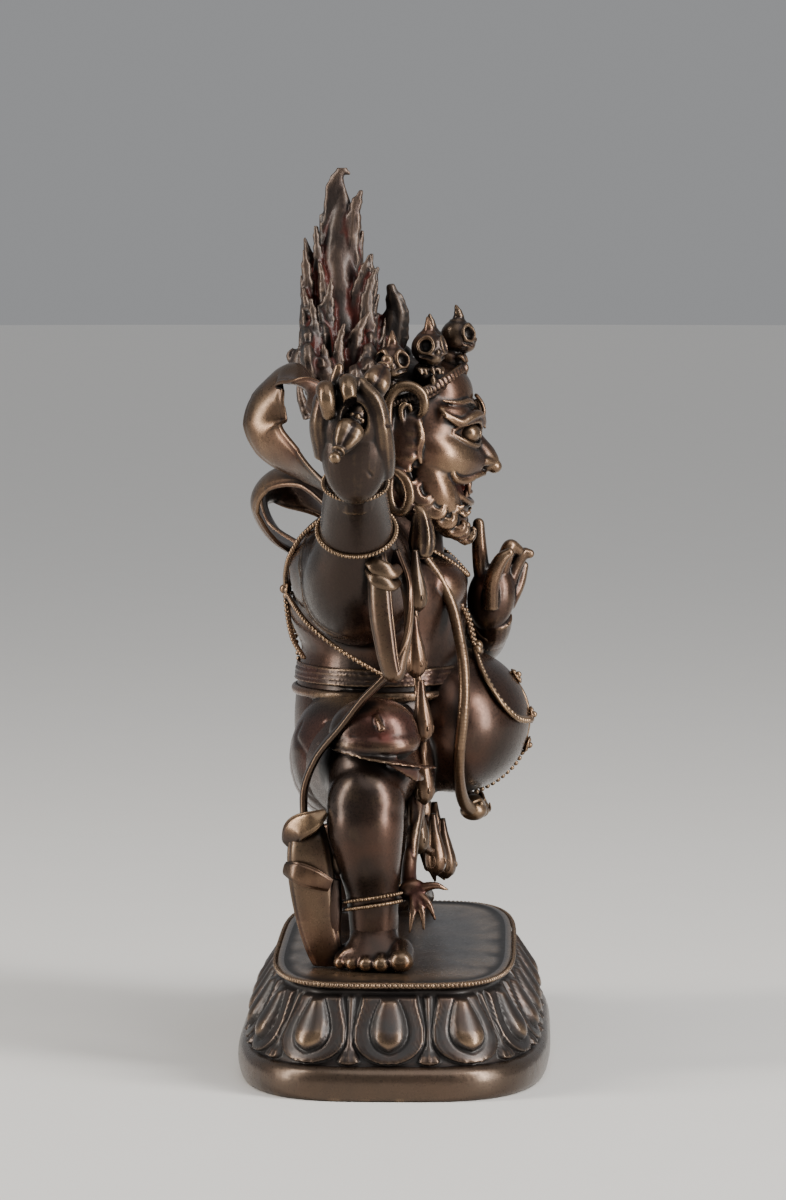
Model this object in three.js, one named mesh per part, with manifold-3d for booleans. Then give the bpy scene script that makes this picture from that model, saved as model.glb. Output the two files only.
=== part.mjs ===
// A small bronze figure of a wrathful guardian deity on its lotus plinth.
// Millimetres, +Z up. The figure looks along -Y, and its right side is at -X.
// The origin is the middle of the plinth's underside.
import * as THREE from 'three';
import { mergeVertices } from 'three/addons/utils/BufferGeometryUtils.js';
import Module from 'manifold-3d';

const wasm = await Module();
wasm.setup();

// Driving dimensions
const TOTAL_HEIGHT = 200;
const PLINTH_HEIGHT = 24.5;
const PLINTH_LENGTH = 143;
const PLINTH_DEPTH = 70;
const FOOT_MOULDING = 8.4;
const PETAL_COUNT = 20;
const RIM_HEIGHT = 1.9;
const SEAT_GAP = 0.05;
const CORNER_POWER = 3.8;

// The figure's own sizes
const HEAD_MIDDLE = [0, -4, 140];
const HEAD_RADII = [15, 15.5, 15.5];
const BELLY_MIDDLE = [0, -14, 75];
const BELLY_RADII = [22, 17, 16.5];
const CROWN_RADIUS = 14.4;
const SKULL_SIZE = 3.9;
const SNAKE_RADIUS = 1.8;
const CORD_RADIUS = 1.2;
const BEAD_RADIUS = 0.85;
const RIBBON_THICK = 1;
const FULL_TURN = 2 * Math.PI;
const SEAT = PLINTH_HEIGHT + SEAT_GAP;
const FIGURE_FACETS = 6600;
const PLINTH_FACETS = 3200;
const FIGURE_BACK = 0.9;

// The shorthand for a point
function at(place) {
  return new THREE.Vector3(...place);
}

// A value that runs evenly through a list as t goes from 0 to 1
function ramp(values) {
  const list = Array.isArray(values) ? values : [values, values];
  return (t) => {
    const place = Math.min(Math.max(t, 0), 1) * (list.length - 1);
    const low = Math.min(Math.floor(place), list.length - 2);
    return list[low] + (list[low + 1] - list[low]) * (place - low);
  };
}

// A geometry from a plain list of points and triangles
function meshOf(points, triangles) {
  const geometry = new THREE.BufferGeometry();
  geometry.setAttribute('position', new THREE.Float32BufferAttribute(points, 3));
  geometry.setIndex(triangles);
  return geometry;
}

// The closed skin over a row of rings. An open row gets a fan of triangles over each end.
function skin(rings, closed = false) {
  const sides = rings[0].length;
  const points = [];
  const triangles = [];
  for (const ring of rings) {
    for (const point of ring) {
      points.push(point.x, point.y, point.z);
    }
  }
  const spans = closed ? rings.length : rings.length - 1;
  for (let row = 0; row < spans; row += 1) {
    const here = row * sides;
    const next = ((row + 1) % rings.length) * sides;
    for (let side = 0; side < sides; side += 1) {
      const beside = (side + 1) % sides;
      triangles.push(here + side, here + beside, next + beside);
      triangles.push(here + side, next + beside, next + side);
    }
  }
  if (!closed) {
    for (const [row, faces] of [[0, -1], [rings.length - 1, 1]]) {
      const middle = new THREE.Vector3();
      for (const point of rings[row]) {
        middle.addScaledVector(point, 1 / sides);
      }
      const hub = points.length / 3;
      points.push(middle.x, middle.y, middle.z);
      for (let side = 0; side < sides; side += 1) {
        const first = row * sides + side;
        const second = row * sides + ((side + 1) % sides);
        triangles.push(hub, faces > 0 ? first : second, faces > 0 ? second : first);
      }
    }
  }
  return meshOf(points, triangles);
}

// A limb, cord or ribbon along a smooth path. Its section is an ellipse: wide is the half width
// across the path, thick the half thickness towards up.
function sweep(path, shape) {
  const { wide, thick = wide, up = [0, -1, 0], sides = 8, closed = false } = shape;
  const steps = shape.steps ?? 3 * (path.length - 1);
  const curve = new THREE.CatmullRomCurve3(path.map(at), closed);
  const wideAt = ramp(wide);
  const thickAt = ramp(thick);
  const ups = Array.isArray(up[0]) ? up : [up, up];
  const upAt = [0, 1, 2].map((axis) => ramp(ups.map((one) => one[axis])));
  const rings = [];
  for (let step = 0; step < (closed ? steps : steps + 1); step += 1) {
    const t = step / steps;
    const middle = curve.getPoint(t);
    const along = curve.getTangent(t);
    const upward = at(upAt.map((value) => value(t)));
    const across = upward.cross(along).normalize();
    const face = along.clone().cross(across);
    const ring = [];
    for (let side = 0; side < sides; side += 1) {
      const turn = (side / sides) * FULL_TURN;
      const point = middle.clone();
      point.addScaledVector(across, wideAt(t) * Math.cos(turn));
      point.addScaledVector(face, thickAt(t) * Math.sin(turn));
      ring.push(point);
    }
    rings.push(ring);
  }
  return skin(rings, closed);
}

// An egg with its poles up and down, turned by its three angles in degrees if need be
function ball(middle, radii, shape = {}) {
  const { around = 8, down = 6, turn = [0, 0, 0] } = shape;
  const size = Array.isArray(radii) ? radii : [radii, radii, radii];
  const geometry = new THREE.SphereGeometry(1, around, down);
  geometry.rotateX(Math.PI / 2);
  geometry.scale(...size);
  const [x, y, z] = turn.map(THREE.MathUtils.degToRad);
  geometry.applyMatrix4(new THREE.Matrix4().makeRotationFromEuler(new THREE.Euler(x, y, z)));
  geometry.translate(...middle);
  return geometry;
}

// A ring round a limb: its middle, its two half widths, and the direction that its axis points in
function hoop(middle, radii, thickness, axis, shape = {}) {
  const { sides = 5, steps = 14 } = shape;
  const turn = new THREE.Quaternion().setFromUnitVectors(at([0, 0, 1]), at(axis).normalize());
  const path = [];
  for (let step = 0; step < steps; step += 1) {
    const angle = (step / steps) * FULL_TURN;
    const spot = at([radii[0] * Math.cos(angle), radii[1] * Math.sin(angle), 0]);
    path.push(spot.applyQuaternion(turn).add(at(middle)).toArray());
  }
  return sweep(path, { wide: thickness, up: axis, sides, steps, closed: true });
}

// A turned form between two points, from pairs of place along the axis and radius
function turned(from, to, profile, sides = 8) {
  const length = at(to).distanceTo(at(from));
  const outline = profile.map(([place, radius]) => new THREE.Vector2(radius, place * length));
  const geometry = new THREE.LatheGeometry(outline, sides);
  const axis = at(to).sub(at(from)).normalize();
  const turn = new THREE.Quaternion().setFromUnitVectors(at([0, 1, 0]), axis);
  geometry.applyQuaternion(turn);
  geometry.translate(...from);
  return geometry;
}

// The same form on the figure's other side
function mirrored(geometry) {
  const other = geometry.clone();
  other.scale(-1, 1, 1);
  const order = other.index.array;
  for (let corner = 0; corner < order.length; corner += 3) {
    [order[corner], order[corner + 1]] = [order[corner + 1], order[corner]];
  }
  return other;
}

// A form and its mirror image
function bothSides(geometries) {
  return [...geometries, ...geometries.map(mirrored)];
}

// A path on the figure's other side
function mirrorPath(path) {
  return path.map(([x, y, z]) => [-x, y, z]);
}

// Solids for joining and cutting, and back
function asSolid(geometry) {
  const bare = geometry.clone();
  bare.deleteAttribute('normal');
  bare.deleteAttribute('uv');
  const merged = mergeVertices(bare, 1e-4);
  const vertProperties = Float32Array.from(merged.attributes.position.array);
  const triVerts = Uint32Array.from(merged.index.array);
  const solid = new wasm.Manifold(new wasm.Mesh({ numProp: 3, vertProperties, triVerts }));
  if (solid.volume() <= 0) {
    throw new Error('a form is inside out');
  }
  return solid;
}

function asGeometry(solid) {
  const mesh = solid.getMesh();
  return meshOf(Array.from(mesh.vertProperties), Array.from(mesh.triVerts));
}

// The outer shell of a joined casting. Pockets that the joined forms close off are filled with
// metal, and a form that touches nothing is an error.
function outerShell(geometry) {
  const places = geometry.attributes.position;
  const order = geometry.index.array;
  const leader = Array.from({ length: places.count }, (_, index) => index);
  const find = (index) => {
    let top = index;
    while (leader[top] !== top) {
      leader[top] = leader[leader[top]];
      top = leader[top];
    }
    return top;
  };
  for (let corner = 0; corner < order.length; corner += 3) {
    leader[find(order[corner])] = find(order[corner + 1]);
    leader[find(order[corner + 1])] = find(order[corner + 2]);
  }
  const shells = new Map();
  const [a, b, c] = [new THREE.Vector3(), new THREE.Vector3(), new THREE.Vector3()];
  for (let corner = 0; corner < order.length; corner += 3) {
    const name = find(order[corner]);
    const shell = shells.get(name) ?? { volume: 0, triangles: [], first: order[corner] };
    a.fromBufferAttribute(places, order[corner]);
    b.fromBufferAttribute(places, order[corner + 1]);
    c.fromBufferAttribute(places, order[corner + 2]);
    shell.volume += a.dot(b.cross(c)) / 6;
    shell.triangles.push(order[corner], order[corner + 1], order[corner + 2]);
    shells.set(name, shell);
  }
  const sorted = [...shells.values()].sort((one, two) => two.volume - one.volume);
  const loose = sorted.filter((shell, rank) => rank > 0 && shell.volume > 0);
  if (loose.length > 0) {
    const spots = loose.map(({ first }) => a.fromBufferAttribute(places, first).toArray());
    throw new Error(`loose forms near ${JSON.stringify(spots)}`);
  }
  const outer = meshOf(Array.from(places.array), sorted[0].triangles);
  return mergeVertices(outer, 1e-6);
}

// The squared distance from a place to a set of planes, as the ten sums that it is worked out from
function planeSums(a, b, c) {
  const normal = b.clone().sub(a).cross(c.clone().sub(a));
  const area = normal.length() / 2;
  normal.normalize();
  const [x, y, z, w] = [normal.x, normal.y, normal.z, -normal.dot(a)];
  return [x * x, x * y, x * z, x * w, y * y, y * z, y * w, z * z, z * w, w * w].map((sum) => sum * area);
}

function planeError(sums, { x, y, z }) {
  const [xx, xy, xz, xw, yy, yz, yw, zz, zw, ww] = sums;
  return xx * x * x + yy * y * y + zz * z * z + ww
    + 2 * (xy * x * y + xz * x * z + yz * y * z + xw * x + yw * y + zw * z);
}

// How far a facet may tip, as a cosine, and how thin it may get, when an edge is taken out
const LEAST_TILT = 0.35;
const LEAST_SHAPE = 0.02;

// A casting's skin with fewer facets: the edges whose removal moves the skin least go first, and
// none goes that would turn a facet over, pinch the skin or leave a sliver
function fewerFacets(geometry, wanted) {
  const source = geometry.attributes.position;
  const spotOf = (_, index) => new THREE.Vector3().fromBufferAttribute(source, index);
  const places = Array.from({ length: source.count }, spotOf);
  const facets = [];
  const touching = places.map(() => new Set());
  const sums = places.map(() => Array(10).fill(0));
  for (let corner = 0; corner < geometry.index.count; corner += 3) {
    const facet = Array.from(geometry.index.array.slice(corner, corner + 3));
    const own = planeSums(...facet.map((index) => places[index]));
    for (const index of facet) {
      touching[index].add(facets.length);
      sums[index] = sums[index].map((sum, place) => sum + own[place]);
    }
    facets.push(facet);
  }
  const neighbours = (index) => {
    const found = new Set();
    for (const facet of touching[index]) {
      facets[facet].forEach((other) => found.add(other));
    }
    found.delete(index);
    return found;
  };
  const price = (one, two) => {
    const both = sums[one].map((sum, place) => sum + sums[two][place]);
    const middle = places[one].clone().add(places[two]).multiplyScalar(0.5);
    const spots = [places[one], places[two], middle];
    const errors = spots.map((spot) => planeError(both, spot));
    const best = errors.indexOf(Math.min(...errors));
    const short = 1e-3 * places[one].distanceToSquared(places[two]);
    return { one, two, both, spot: spots[best].clone(), cost: Math.max(errors[best], 0) + short };
  };
  const normal = ([a, b, c]) => b.clone().sub(a).cross(c.clone().sub(a));
  const longestSide = (corners) => {
    return Math.max(...corners.map((corner, place) => corner.distanceTo(corners[(place + 1) % 3])));
  };
  const turnsOver = (index, gone, spot) => {
    for (const facet of touching[index]) {
      if (!facets[facet].includes(gone)) {
        const before = facets[facet].map((other) => places[other]);
        const after = facets[facet].map((other) => (other === index ? spot : places[other]));
        const [old, fresh] = [normal(before), normal(after)];
        const tilted = old.dot(fresh) < LEAST_TILT * old.length() * fresh.length();
        if (tilted || fresh.length() < LEAST_SHAPE * longestSide(after) ** 2) {
          return true;
        }
      }
    }
    return false;
  };
  const queue = [];
  const stamp = places.map(() => 0);
  const push = (entry) => {
    queue.push({ ...entry, marks: [stamp[entry.one], stamp[entry.two]] });
    let child = queue.length - 1;
    while (child > 0 && queue[(child - 1) >> 1].cost > queue[child].cost) {
      const parent = (child - 1) >> 1;
      [queue[child], queue[parent]] = [queue[parent], queue[child]];
      child = parent;
    }
  };
  const pop = () => {
    const top = queue[0];
    const last = queue.pop();
    if (queue.length > 0) {
      queue[0] = last;
      let parent = 0;
      for (;;) {
        const kids = [2 * parent + 1, 2 * parent + 2].filter((kid) => kid < queue.length);
        const lower = (best, kid) => (queue[kid].cost < queue[best].cost ? kid : best);
        const least = kids.reduce(lower, parent);
        if (least === parent) {
          break;
        }
        [queue[parent], queue[least]] = [queue[least], queue[parent]];
        parent = least;
      }
    }
    return top;
  };
  places.forEach((_, index) => {
    const later = [...neighbours(index)].filter((other) => other > index);
    later.forEach((other) => push(price(index, other)));
  });
  let left = facets.length;
  while (left > wanted && queue.length > 0) {
    const { one, two, both, spot, marks } = pop();
    if (marks[0] !== stamp[one] || marks[1] !== stamp[two] || !touching[one] || !touching[two]) {
      continue;
    }
    const around = neighbours(two);
    const shared = [...neighbours(one)].filter((index) => around.has(index));
    if (shared.length !== 2 || turnsOver(one, two, spot) || turnsOver(two, one, spot)) {
      continue;
    }
    for (const facet of touching[two]) {
      if (facets[facet].includes(one)) {
        facets[facet].forEach((index) => index !== two && touching[index].delete(facet));
        facets[facet] = null;
        left -= 1;
      } else {
        facets[facet] = facets[facet].map((index) => (index === two ? one : index));
        touching[one].add(facet);
      }
    }
    touching[two] = null;
    places[one] = spot;
    sums[one] = both;
    stamp[one] += 1;
    stamp[two] += 1;
    neighbours(one).forEach((other) => push(price(one, other)));
  }
  const kept = facets.filter((facet) => facet !== null).flat();
  return mergeVertices(meshOf(places.flatMap((spot) => spot.toArray()), kept).toNonIndexed(), 1e-6);
}

// The plinth

// The outline at the middle of the petals, in even steps from the middle of its -X end
function plinthOutline(columns) {
  const halfLength = PLINTH_LENGTH / 2 - 5.5;
  const halfDepth = PLINTH_DEPTH / 2 - 5.5;
  const bend = (value) => Math.sign(value) * Math.abs(value) ** (2 / CORNER_POWER);
  const spot = (angle) => {
    return [-halfLength * bend(Math.cos(angle)), -halfDepth * bend(Math.sin(angle))];
  };
  const fine = 4000;
  const lengths = [0];
  for (let step = 1; step <= fine; step += 1) {
    const [x, y] = spot((step / fine) * FULL_TURN);
    const [px, py] = spot(((step - 1) / fine) * FULL_TURN);
    lengths.push(lengths[step - 1] + Math.hypot(x - px, y - py));
  }
  const total = lengths[fine];
  const walk = (distance) => {
    const goal = ((distance % total) + total) % total;
    let step = 1;
    while (lengths[step] < goal) {
      step += 1;
    }
    const share = (goal - lengths[step - 1]) / (lengths[step] - lengths[step - 1]);
    return spot(((step - 1 + share) / fine) * FULL_TURN);
  };
  return columns.map((column) => {
    const distance = (column / PETAL_COUNT) * total;
    const [x, y] = walk(distance);
    const [ax, ay] = walk(distance - 1);
    const [bx, by] = walk(distance + 1);
    const long = Math.hypot(bx - ax, by - ay);
    return { x, y, outX: (by - ay) / long, outY: -(bx - ax) / long };
  });
}

// One petal: how far it stands out at a place across it (0 in the middle, 0.5 at the gap to the
// next) and up it (0 at its tip, 1 under the rim)
const PETAL_COLUMNS = [-0.5, -0.42, -0.25, -0.14, 0.14, 0.25, 0.42];
const PETAL_PROUD = 1.3;
const BOSS_PROUD = 1.7;
const BOSS_EDGE = 0.2;
const TIP_RISE = 3.4;

function petalRelief(across, upwards) {
  const side = Math.abs(across);
  const leaf = side > 0.45 ? 0 : PETAL_PROUD;
  const bossUp = Math.exp(-(((upwards - 0.38) / 0.3) ** 4));
  const boss = side < BOSS_EDGE ? BOSS_PROUD * bossUp : 0;
  return leaf * (1 - 0.4 * upwards) + boss;
}

function petalTip(across) {
  const side = Math.min(Math.abs(across) / 0.5, 1);
  return FOOT_MOULDING + 0.6 + TIP_RISE * (1 - Math.sqrt(1 - (0.96 * side) ** 2));
}

function lotusBase() {
  const petalTop = PLINTH_HEIGHT - RIM_HEIGHT;
  const columns = [];
  for (let petal = 0; petal < PETAL_COUNT; petal += 1) {
    for (const across of PETAL_COLUMNS) {
      columns.push({ column: petal + across, across });
    }
  }
  const outline = plinthOutline(columns.map(({ column }) => column));
  const slope = (z) => 4.1 - (8 * (z - FOOT_MOULDING)) / (petalTop - FOOT_MOULDING);
  const plain = (z, out) => () => [z, out];
  const petal = (upwards) => (across) => {
    const tip = petalTip(across);
    const z = tip + upwards * (petalTop - tip);
    return [z, slope(z) - 0.9 + petalRelief(across, upwards)];
  };
  const underTip = (across) => {
    const tip = petalTip(across);
    return [tip - 0.35, slope(tip) - 0.9];
  };
  const rows = [
    plain(0, 4.4),
    plain(1.2, 5.2),
    plain(4.2, 5.5),
    plain(7.4, 4.6),
    underTip,
    petal(0),
    petal(0.12),
    petal(0.24),
    petal(0.5),
    petal(0.7),
    petal(1),
    plain(petalTop + 0.2, -3.1),
    plain(PLINTH_HEIGHT, -3.3),
    plain(PLINTH_HEIGHT, -5),
  ];
  const rings = rows.map((row) => outline.map(({ x, y, outX, outY }, index) => {
    const [z, out] = row(columns[index].across);
    return at([x + outX * out, y + outY * out, z]);
  }));
  return fewerFacets(skin(rings), PLINTH_FACETS);
}

// The figure

function torso() {
  const path = [
    [0, 6, 55], [0, 4.5, 64], [0, 4, 74], [0, 2.6, 84], [0, 2.2, 93],
    [0, 3.6, 104], [0, 5, 113], [0, 2, 121], [0, 0, 128],
  ];
  const wide = [14, 22.5, 24.5, 22, 21.5, 24, 21, 12.5, 10.5];
  const thick = [11, 16.5, 18.5, 19, 18.6, 20.3, 15.4, 11.5, 10.5];
  const shoulders = [[18, 7.6, 107], [0, 8.6, 109], [-14, 8.6, 110], [-24, 8, 112]];
  return [
    sweep(path, { wide, thick, sides: 12, steps: 16 }),
    sweep(shoulders, { wide: [9.6, 13, 14.2, 12.3], sides: 10, steps: 6, up: [0, 1, 0] }),
    ball([-24, 8, 112], [12.3, 12.3, 12.3], { around: 10, down: 8 }),
    ball(BELLY_MIDDLE, BELLY_RADII, { around: 14, down: 10 }),
    ball([-8, -9, 106], [9, 8, 6.5]),
    ball([8, -9, 106], [9, 8, 6.5]),
  ];
}

function head() {
  const brow = [[-12, -12, 143.4], [-7, -17.4, 146], [-2, -19, 143]];
  const ear = [[-14.5, -3, 151], [-17.3, -4.4, 147.6], [-17, -2.8, 139], [-17, -2, 130.5]];
  const ribbon = [[-14, -1, 149], [-18.6, -2, 136], [-18.6, -4.4, 125], [-19.5, -5.6, 117]];
  const pairs = [
    ball([-8.5, -12.2, 134.8], [5.6, 5.6, 5]),
    ball([-6.2, -17, 140.2], [3.2, 2.7, 2.6]),
    ball([-3, -19.4, 131.6], [2, 2.2, 1.8], { around: 6, down: 4 }),
    sweep(brow, { wide: [1, 1.8, 1.3], sides: 5 }),
    sweep(ear, { wide: [1.6, 3.6, 2.6, 1.6], thick: 1.5, up: [1, 0, 0], sides: 6, steps: 6 }),
    hoop([-18, -2, 127.4], [3.6, 3.6], 1.1, [1, 0, 0], { steps: 10, sides: 5 }),
    sweep(ribbon, {
      wide: [1.6, 2.2, 2.4, 3.4], thick: [1, 1, 1.2, 2.8], up: [1, 0, 0], sides: 6, steps: 7,
    }),
    ball([-19.8, -5.8, 117.6], [3.1, 3.9, 4.2], { around: 7, down: 5 }),
  ];
  const jawLine = [[-14, 0, 132], [-12.5, -11, 119], [-2.6, -15.6, 118.4]];
  const jaw = new THREE.QuadraticBezierCurve3(...jawLine.map(at));
  const beardCurls = 6;
  for (let curl = 0; curl < beardCurls; curl += 1) {
    const { x, y, z } = jaw.getPoint(curl / (beardCurls - 1));
    const path = [[x * 0.86, y * 0.9 + 0.6, z + 2], [x, y, z], [x * 0.98, y - 1.6, z - 1.8]];
    pairs.push(sweep(path, { wide: [2.6, 2.3, 0.7], sides: 5, steps: 3 }));
  }
  const nose = [[0, -16.6, 142], [0, -18.6, 137], [0, -21.4, 133.4], [0, -24, 131.6]];
  return [
    ball(HEAD_MIDDLE, HEAD_RADII, { around: 14, down: 10 }),
    ball([0, -5.5, 127.5], [13, 11.6, 9.6], { around: 12, down: 8 }),
    ball([0, -15.4, 130], [7.4, 5.2, 2.8]),
    ball([0, -14, 124], [6.4, 3.6, 1.9]),
    ball([0, -12.4, 121], [6.4, 4.8, 3.6]),
    ball([0, -18.4, 145.4], [2, 2.7, 3.3], { around: 6, down: 5 }),
    sweep(nose, { wide: [2, 2.5, 3, 1.4], sides: 6 }),
    ...bothSides(pairs),
  ];
}

function mouthOpening() {
  return ball([0, -18.2, 127], [5.6, 4.4, 1.7], { around: 8, down: 5 });
}

// The crown: a ribbed band over the forehead and five grinning skulls, each on a small flower and
// under a flame jewel
function crownSpots() {
  return [0, 56, -56, 90, -90].map((degrees) => {
    const angle = THREE.MathUtils.degToRad(degrees);
    const drop = 5.4 * (1 - Math.cos(angle));
    const middle = [CROWN_RADIUS * Math.sin(angle), -CROWN_RADIUS * Math.cos(angle) - 0.2, 161.8 - drop];
    return { angle, middle };
  });
}

function crown() {
  const band = [[-16, 2, 146], [-13.8, -7.6, 149.6], [0, -15, 154], [13.8, -7.6, 149.6], [16, 2, 146]];
  const forms = [sweep(band, { wide: 1.7, thick: 1.3, up: [0, 0.3, 1], sides: 5, steps: 12 })];
  for (const { angle, middle } of crownSpots()) {
    const [x, y, z] = middle;
    const [outX, outY] = [Math.sin(angle), -Math.cos(angle)];
    const flower = [x - outX * 1.5, y - outY * 1.5, z - 5.2];
    const jewel = [[x, y, z + 2], [x, y, z + 7.4]];
    forms.push(ball(middle, [SKULL_SIZE, SKULL_SIZE, SKULL_SIZE], { around: 8, down: 6 }));
    forms.push(ball([x + outX * 1.4, y + outY * 1.4, z - 2.6], [2.4, 2.4, 2], { around: 6, down: 4 }));
    forms.push(ball(flower, [3.4, 3.4, 3.2], { around: 6, down: 4 }));
    forms.push(sweep(jewel, { wide: [1.7, 0.4], sides: 5, steps: 2, up: [0, 1, 0] }));
  }
  return forms;
}

function skullSockets() {
  const sockets = [];
  for (const { angle, middle } of crownSpots()) {
    for (const side of [-1, 1]) {
      const turn = angle + side * 0.42;
      const reach = SKULL_SIZE * 0.95;
      const [x, y, z] = middle;
      const spot = [x + Math.sin(turn) * reach, y - Math.cos(turn) * reach, z + 0.5];
      sockets.push(ball(spot, 1.2, { around: 5, down: 4 }));
    }
  }
  return sockets;
}

// The hair stands up behind the crown as one broad flame of upright locks, with a tall middle lock
// hooked at its top, a row of locks in front of it and a row behind
function hair() {
  const flame = [[0, 9, 150], [0, 10, 165], [0, 10.4, 180], [0, 11.6, 192], [0, 11.4, TOTAL_HEIGHT - 1]];
  const hook = [[0, 12, 194], [0, 10, 199.2], [0, 6.6, 195.2]];
  const leftLock = [[9, 1, 153], [8, -0.6, 165], [8, -1, 174]];
  const forms = [
    ball([0, 3, 148], [15.4, 14, 11], { around: 12, down: 7 }),
    sweep(flame, { wide: [19, 21, 13, 6, 1.6], thick: [8, 7, 5.2, 3.2, 1.2], sides: 10, steps: 9 }),
    sweep(hook, { wide: [2.4, 1.7, 0.5], sides: 5, steps: 5, up: [1, 0, 0] }),
    sweep(leftLock, { wide: [5, 4, 1], thick: [4, 2.8, 0.8], sides: 5, steps: 4 }),
    ball([0, 20, 155], [4, 3.4, 5], { around: 5, down: 4 }),
  ];
  const rows = [
    { reach: 4, y: 17.6, lean: 0.6, tall: 186, drop: 5.6, half: 3.6 },
    { reach: 4, y: 4.8, lean: -0.4, tall: 181, drop: 5, half: 3.4 },
  ];
  for (const { reach, y, lean, tall, drop, half } of rows) {
    for (let lock = -reach; lock <= reach; lock += 1) {
      const x = lock * 4.6;
      const top = tall - drop * Math.abs(lock);
      const middle = [x * 1.15, y + lean * 2, (150 + top) / 2 + 2];
      const path = [[x * 0.8, y, 150], middle, [x * 0.95, y + lean * 4, top]];
      forms.push(sweep(path, { wide: [half, half, 0.6], thick: [3.4, 2.8, 0.7], sides: 5, steps: 4 }));
    }
  }
  return forms;
}

// The right arm is raised and brandishes the vajra, and the left hand points in front of the chest
function rightArm() {
  const arm = [[-8, 7, 107], [-22, 7, 107], [-31, 7.6, 111], [-39, 7, 120], [-46, 7, 127.5], [-54, 6.6, 134]];
  const index = [[-56, -0.4, 134], [-59, -2, 141], [-60, 0, 148.4], [-61, 4.6, 152.4]];
  return [
    sweep(arm, { wide: [12, 13, 11.2, 8.4, 7.2, 6], sides: 10, steps: 13, up: [0, 1, 0] }),
    hoop([-39.6, 6.9, 121], [8.6, 8.6], 1.1, [-0.62, 0, 0.78]),
    hoop([-51, 6.8, 131.6], [7, 7], 1.1, [-0.5, 0, 0.86]),
    ball([-58, 6.2, 139.4], [6, 7.3, 12.6], { around: 10, down: 8, turn: [0, -8, 0] }),
    sweep(index, { wide: [2.6, 2.4, 2.1, 1.3], sides: 6, steps: 7, up: [1, 0, 0] }),
    ball([-62, 11.4, 150.6], [3.4, 3.2, 3], { around: 7, down: 5 }),
    ball([-62.4, 7, 151.8], [3.2, 2.7, 2.8], { around: 7, down: 5 }),
    sweep([[-59, 8, 149], [-60, 8.4, 156.6]], { wide: [1.8, 0.8], sides: 5, steps: 2 }),
  ];
}

function vajra() {
  const half = [
    [0, 0], [0.03, 1.3], [0.07, 1.2], [0.1, 0.9], [0.2, 3.2],
    [0.28, 3.5], [0.38, 2], [0.43, 2.6], [0.47, 1.5],
  ];
  const far = half.map(([place, radius]) => [1 - place, radius]).reverse();
  return [turned([-71, 11, 137.4], [-51.4, -0.6, 159.2], [...half, ...far], 7)];
}

function leftArm() {
  const upper = [[8, 6, 107], [24, 4, 108], [35, 0, 100], [39, -4, 93]];
  const lower = [[39, -2, 94], [34, -10, 90.4], [22, -18.6, 91], [12, -22.4, 96]];
  const finger = { wide: [1.8, 1.6, 1.1], sides: 5, steps: 4, up: [1, 0, 0] };
  const fingers = [
    [[9, -20.6, 106], [8, -19.8, 113], [8, -19.3, 119.8]],
    [[9, -23.6, 107], [8, -25.6, 113.4], [9, -28.4, 113.8]],
    [[10, -25.4, 105], [11, -27.6, 110], [11, -31, 112.2]],
    [[5.6, -22, 102], [3.2, -22.6, 108], [3.4, -26.6, 113.2]],
  ];
  return [
    sweep(upper, { wide: [11, 10, 7.8, 7], sides: 9, steps: 9, up: [0, 1, 0] }),
    sweep(lower, { wide: [6.6, 6.8, 6, 4.6], sides: 8, steps: 8, up: [0, 0, 1] }),
    ball([9.4, -23.2, 101.4], [4.4, 4.5, 8], { around: 8, down: 6, turn: [8, 0, 0] }),
    hoop([15, -21.4, 94], [5.6, 5.6], 1, [-0.82, -0.3, 0.5], { steps: 12, sides: 4 }),
    hoop([34, 0.6, 101], [8.2, 8.2], 1, [0.66, -0.3, -0.7], { steps: 12, sides: 4 }),
    ...fingers.map((path) => sweep(path, finger)),
  ];
}

// A foot that points away from the ankle, with its toes. The big toe is towards the front, which is
// on the given hand of someone looking along the foot. The sole is cut flat later.
function foot(ankle, degrees, hand) {
  const angle = THREE.MathUtils.degToRad(degrees);
  const [outX, outY] = [Math.cos(angle), Math.sin(angle)];
  const place = (ahead, aside, z) => [
    ankle[0] + outX * ahead - outY * aside * hand,
    ankle[1] + outY * ahead + outX * aside * hand,
    z,
  ];
  const low = SEAT + 2.4;
  const sole = [place(-6.4, 0, low + 1), place(0, 0, low + 1.6), place(7.4, 0, low)];
  const instep = { wide: [4, 5.8, 7.4], thick: [4, 5, 3.2], up: [0, 0, 1], steps: 5 };
  const forms = [sweep(sole, instep)];
  const toes = [[-6.2, 2.9], [-1.9, 2.2], [1.6, 2], [4.7, 1.9], [7.5, 1.7]];
  for (const [aside, size] of toes) {
    const ahead = 9.4 - 0.035 * (aside + 3) ** 2;
    forms.push(ball(place(ahead, aside, SEAT + size * 0.72), [size * 1.3, size, size], {
      around: 6, down: 5, turn: [0, 0, degrees],
    }));
  }
  return forms;
}

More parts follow.
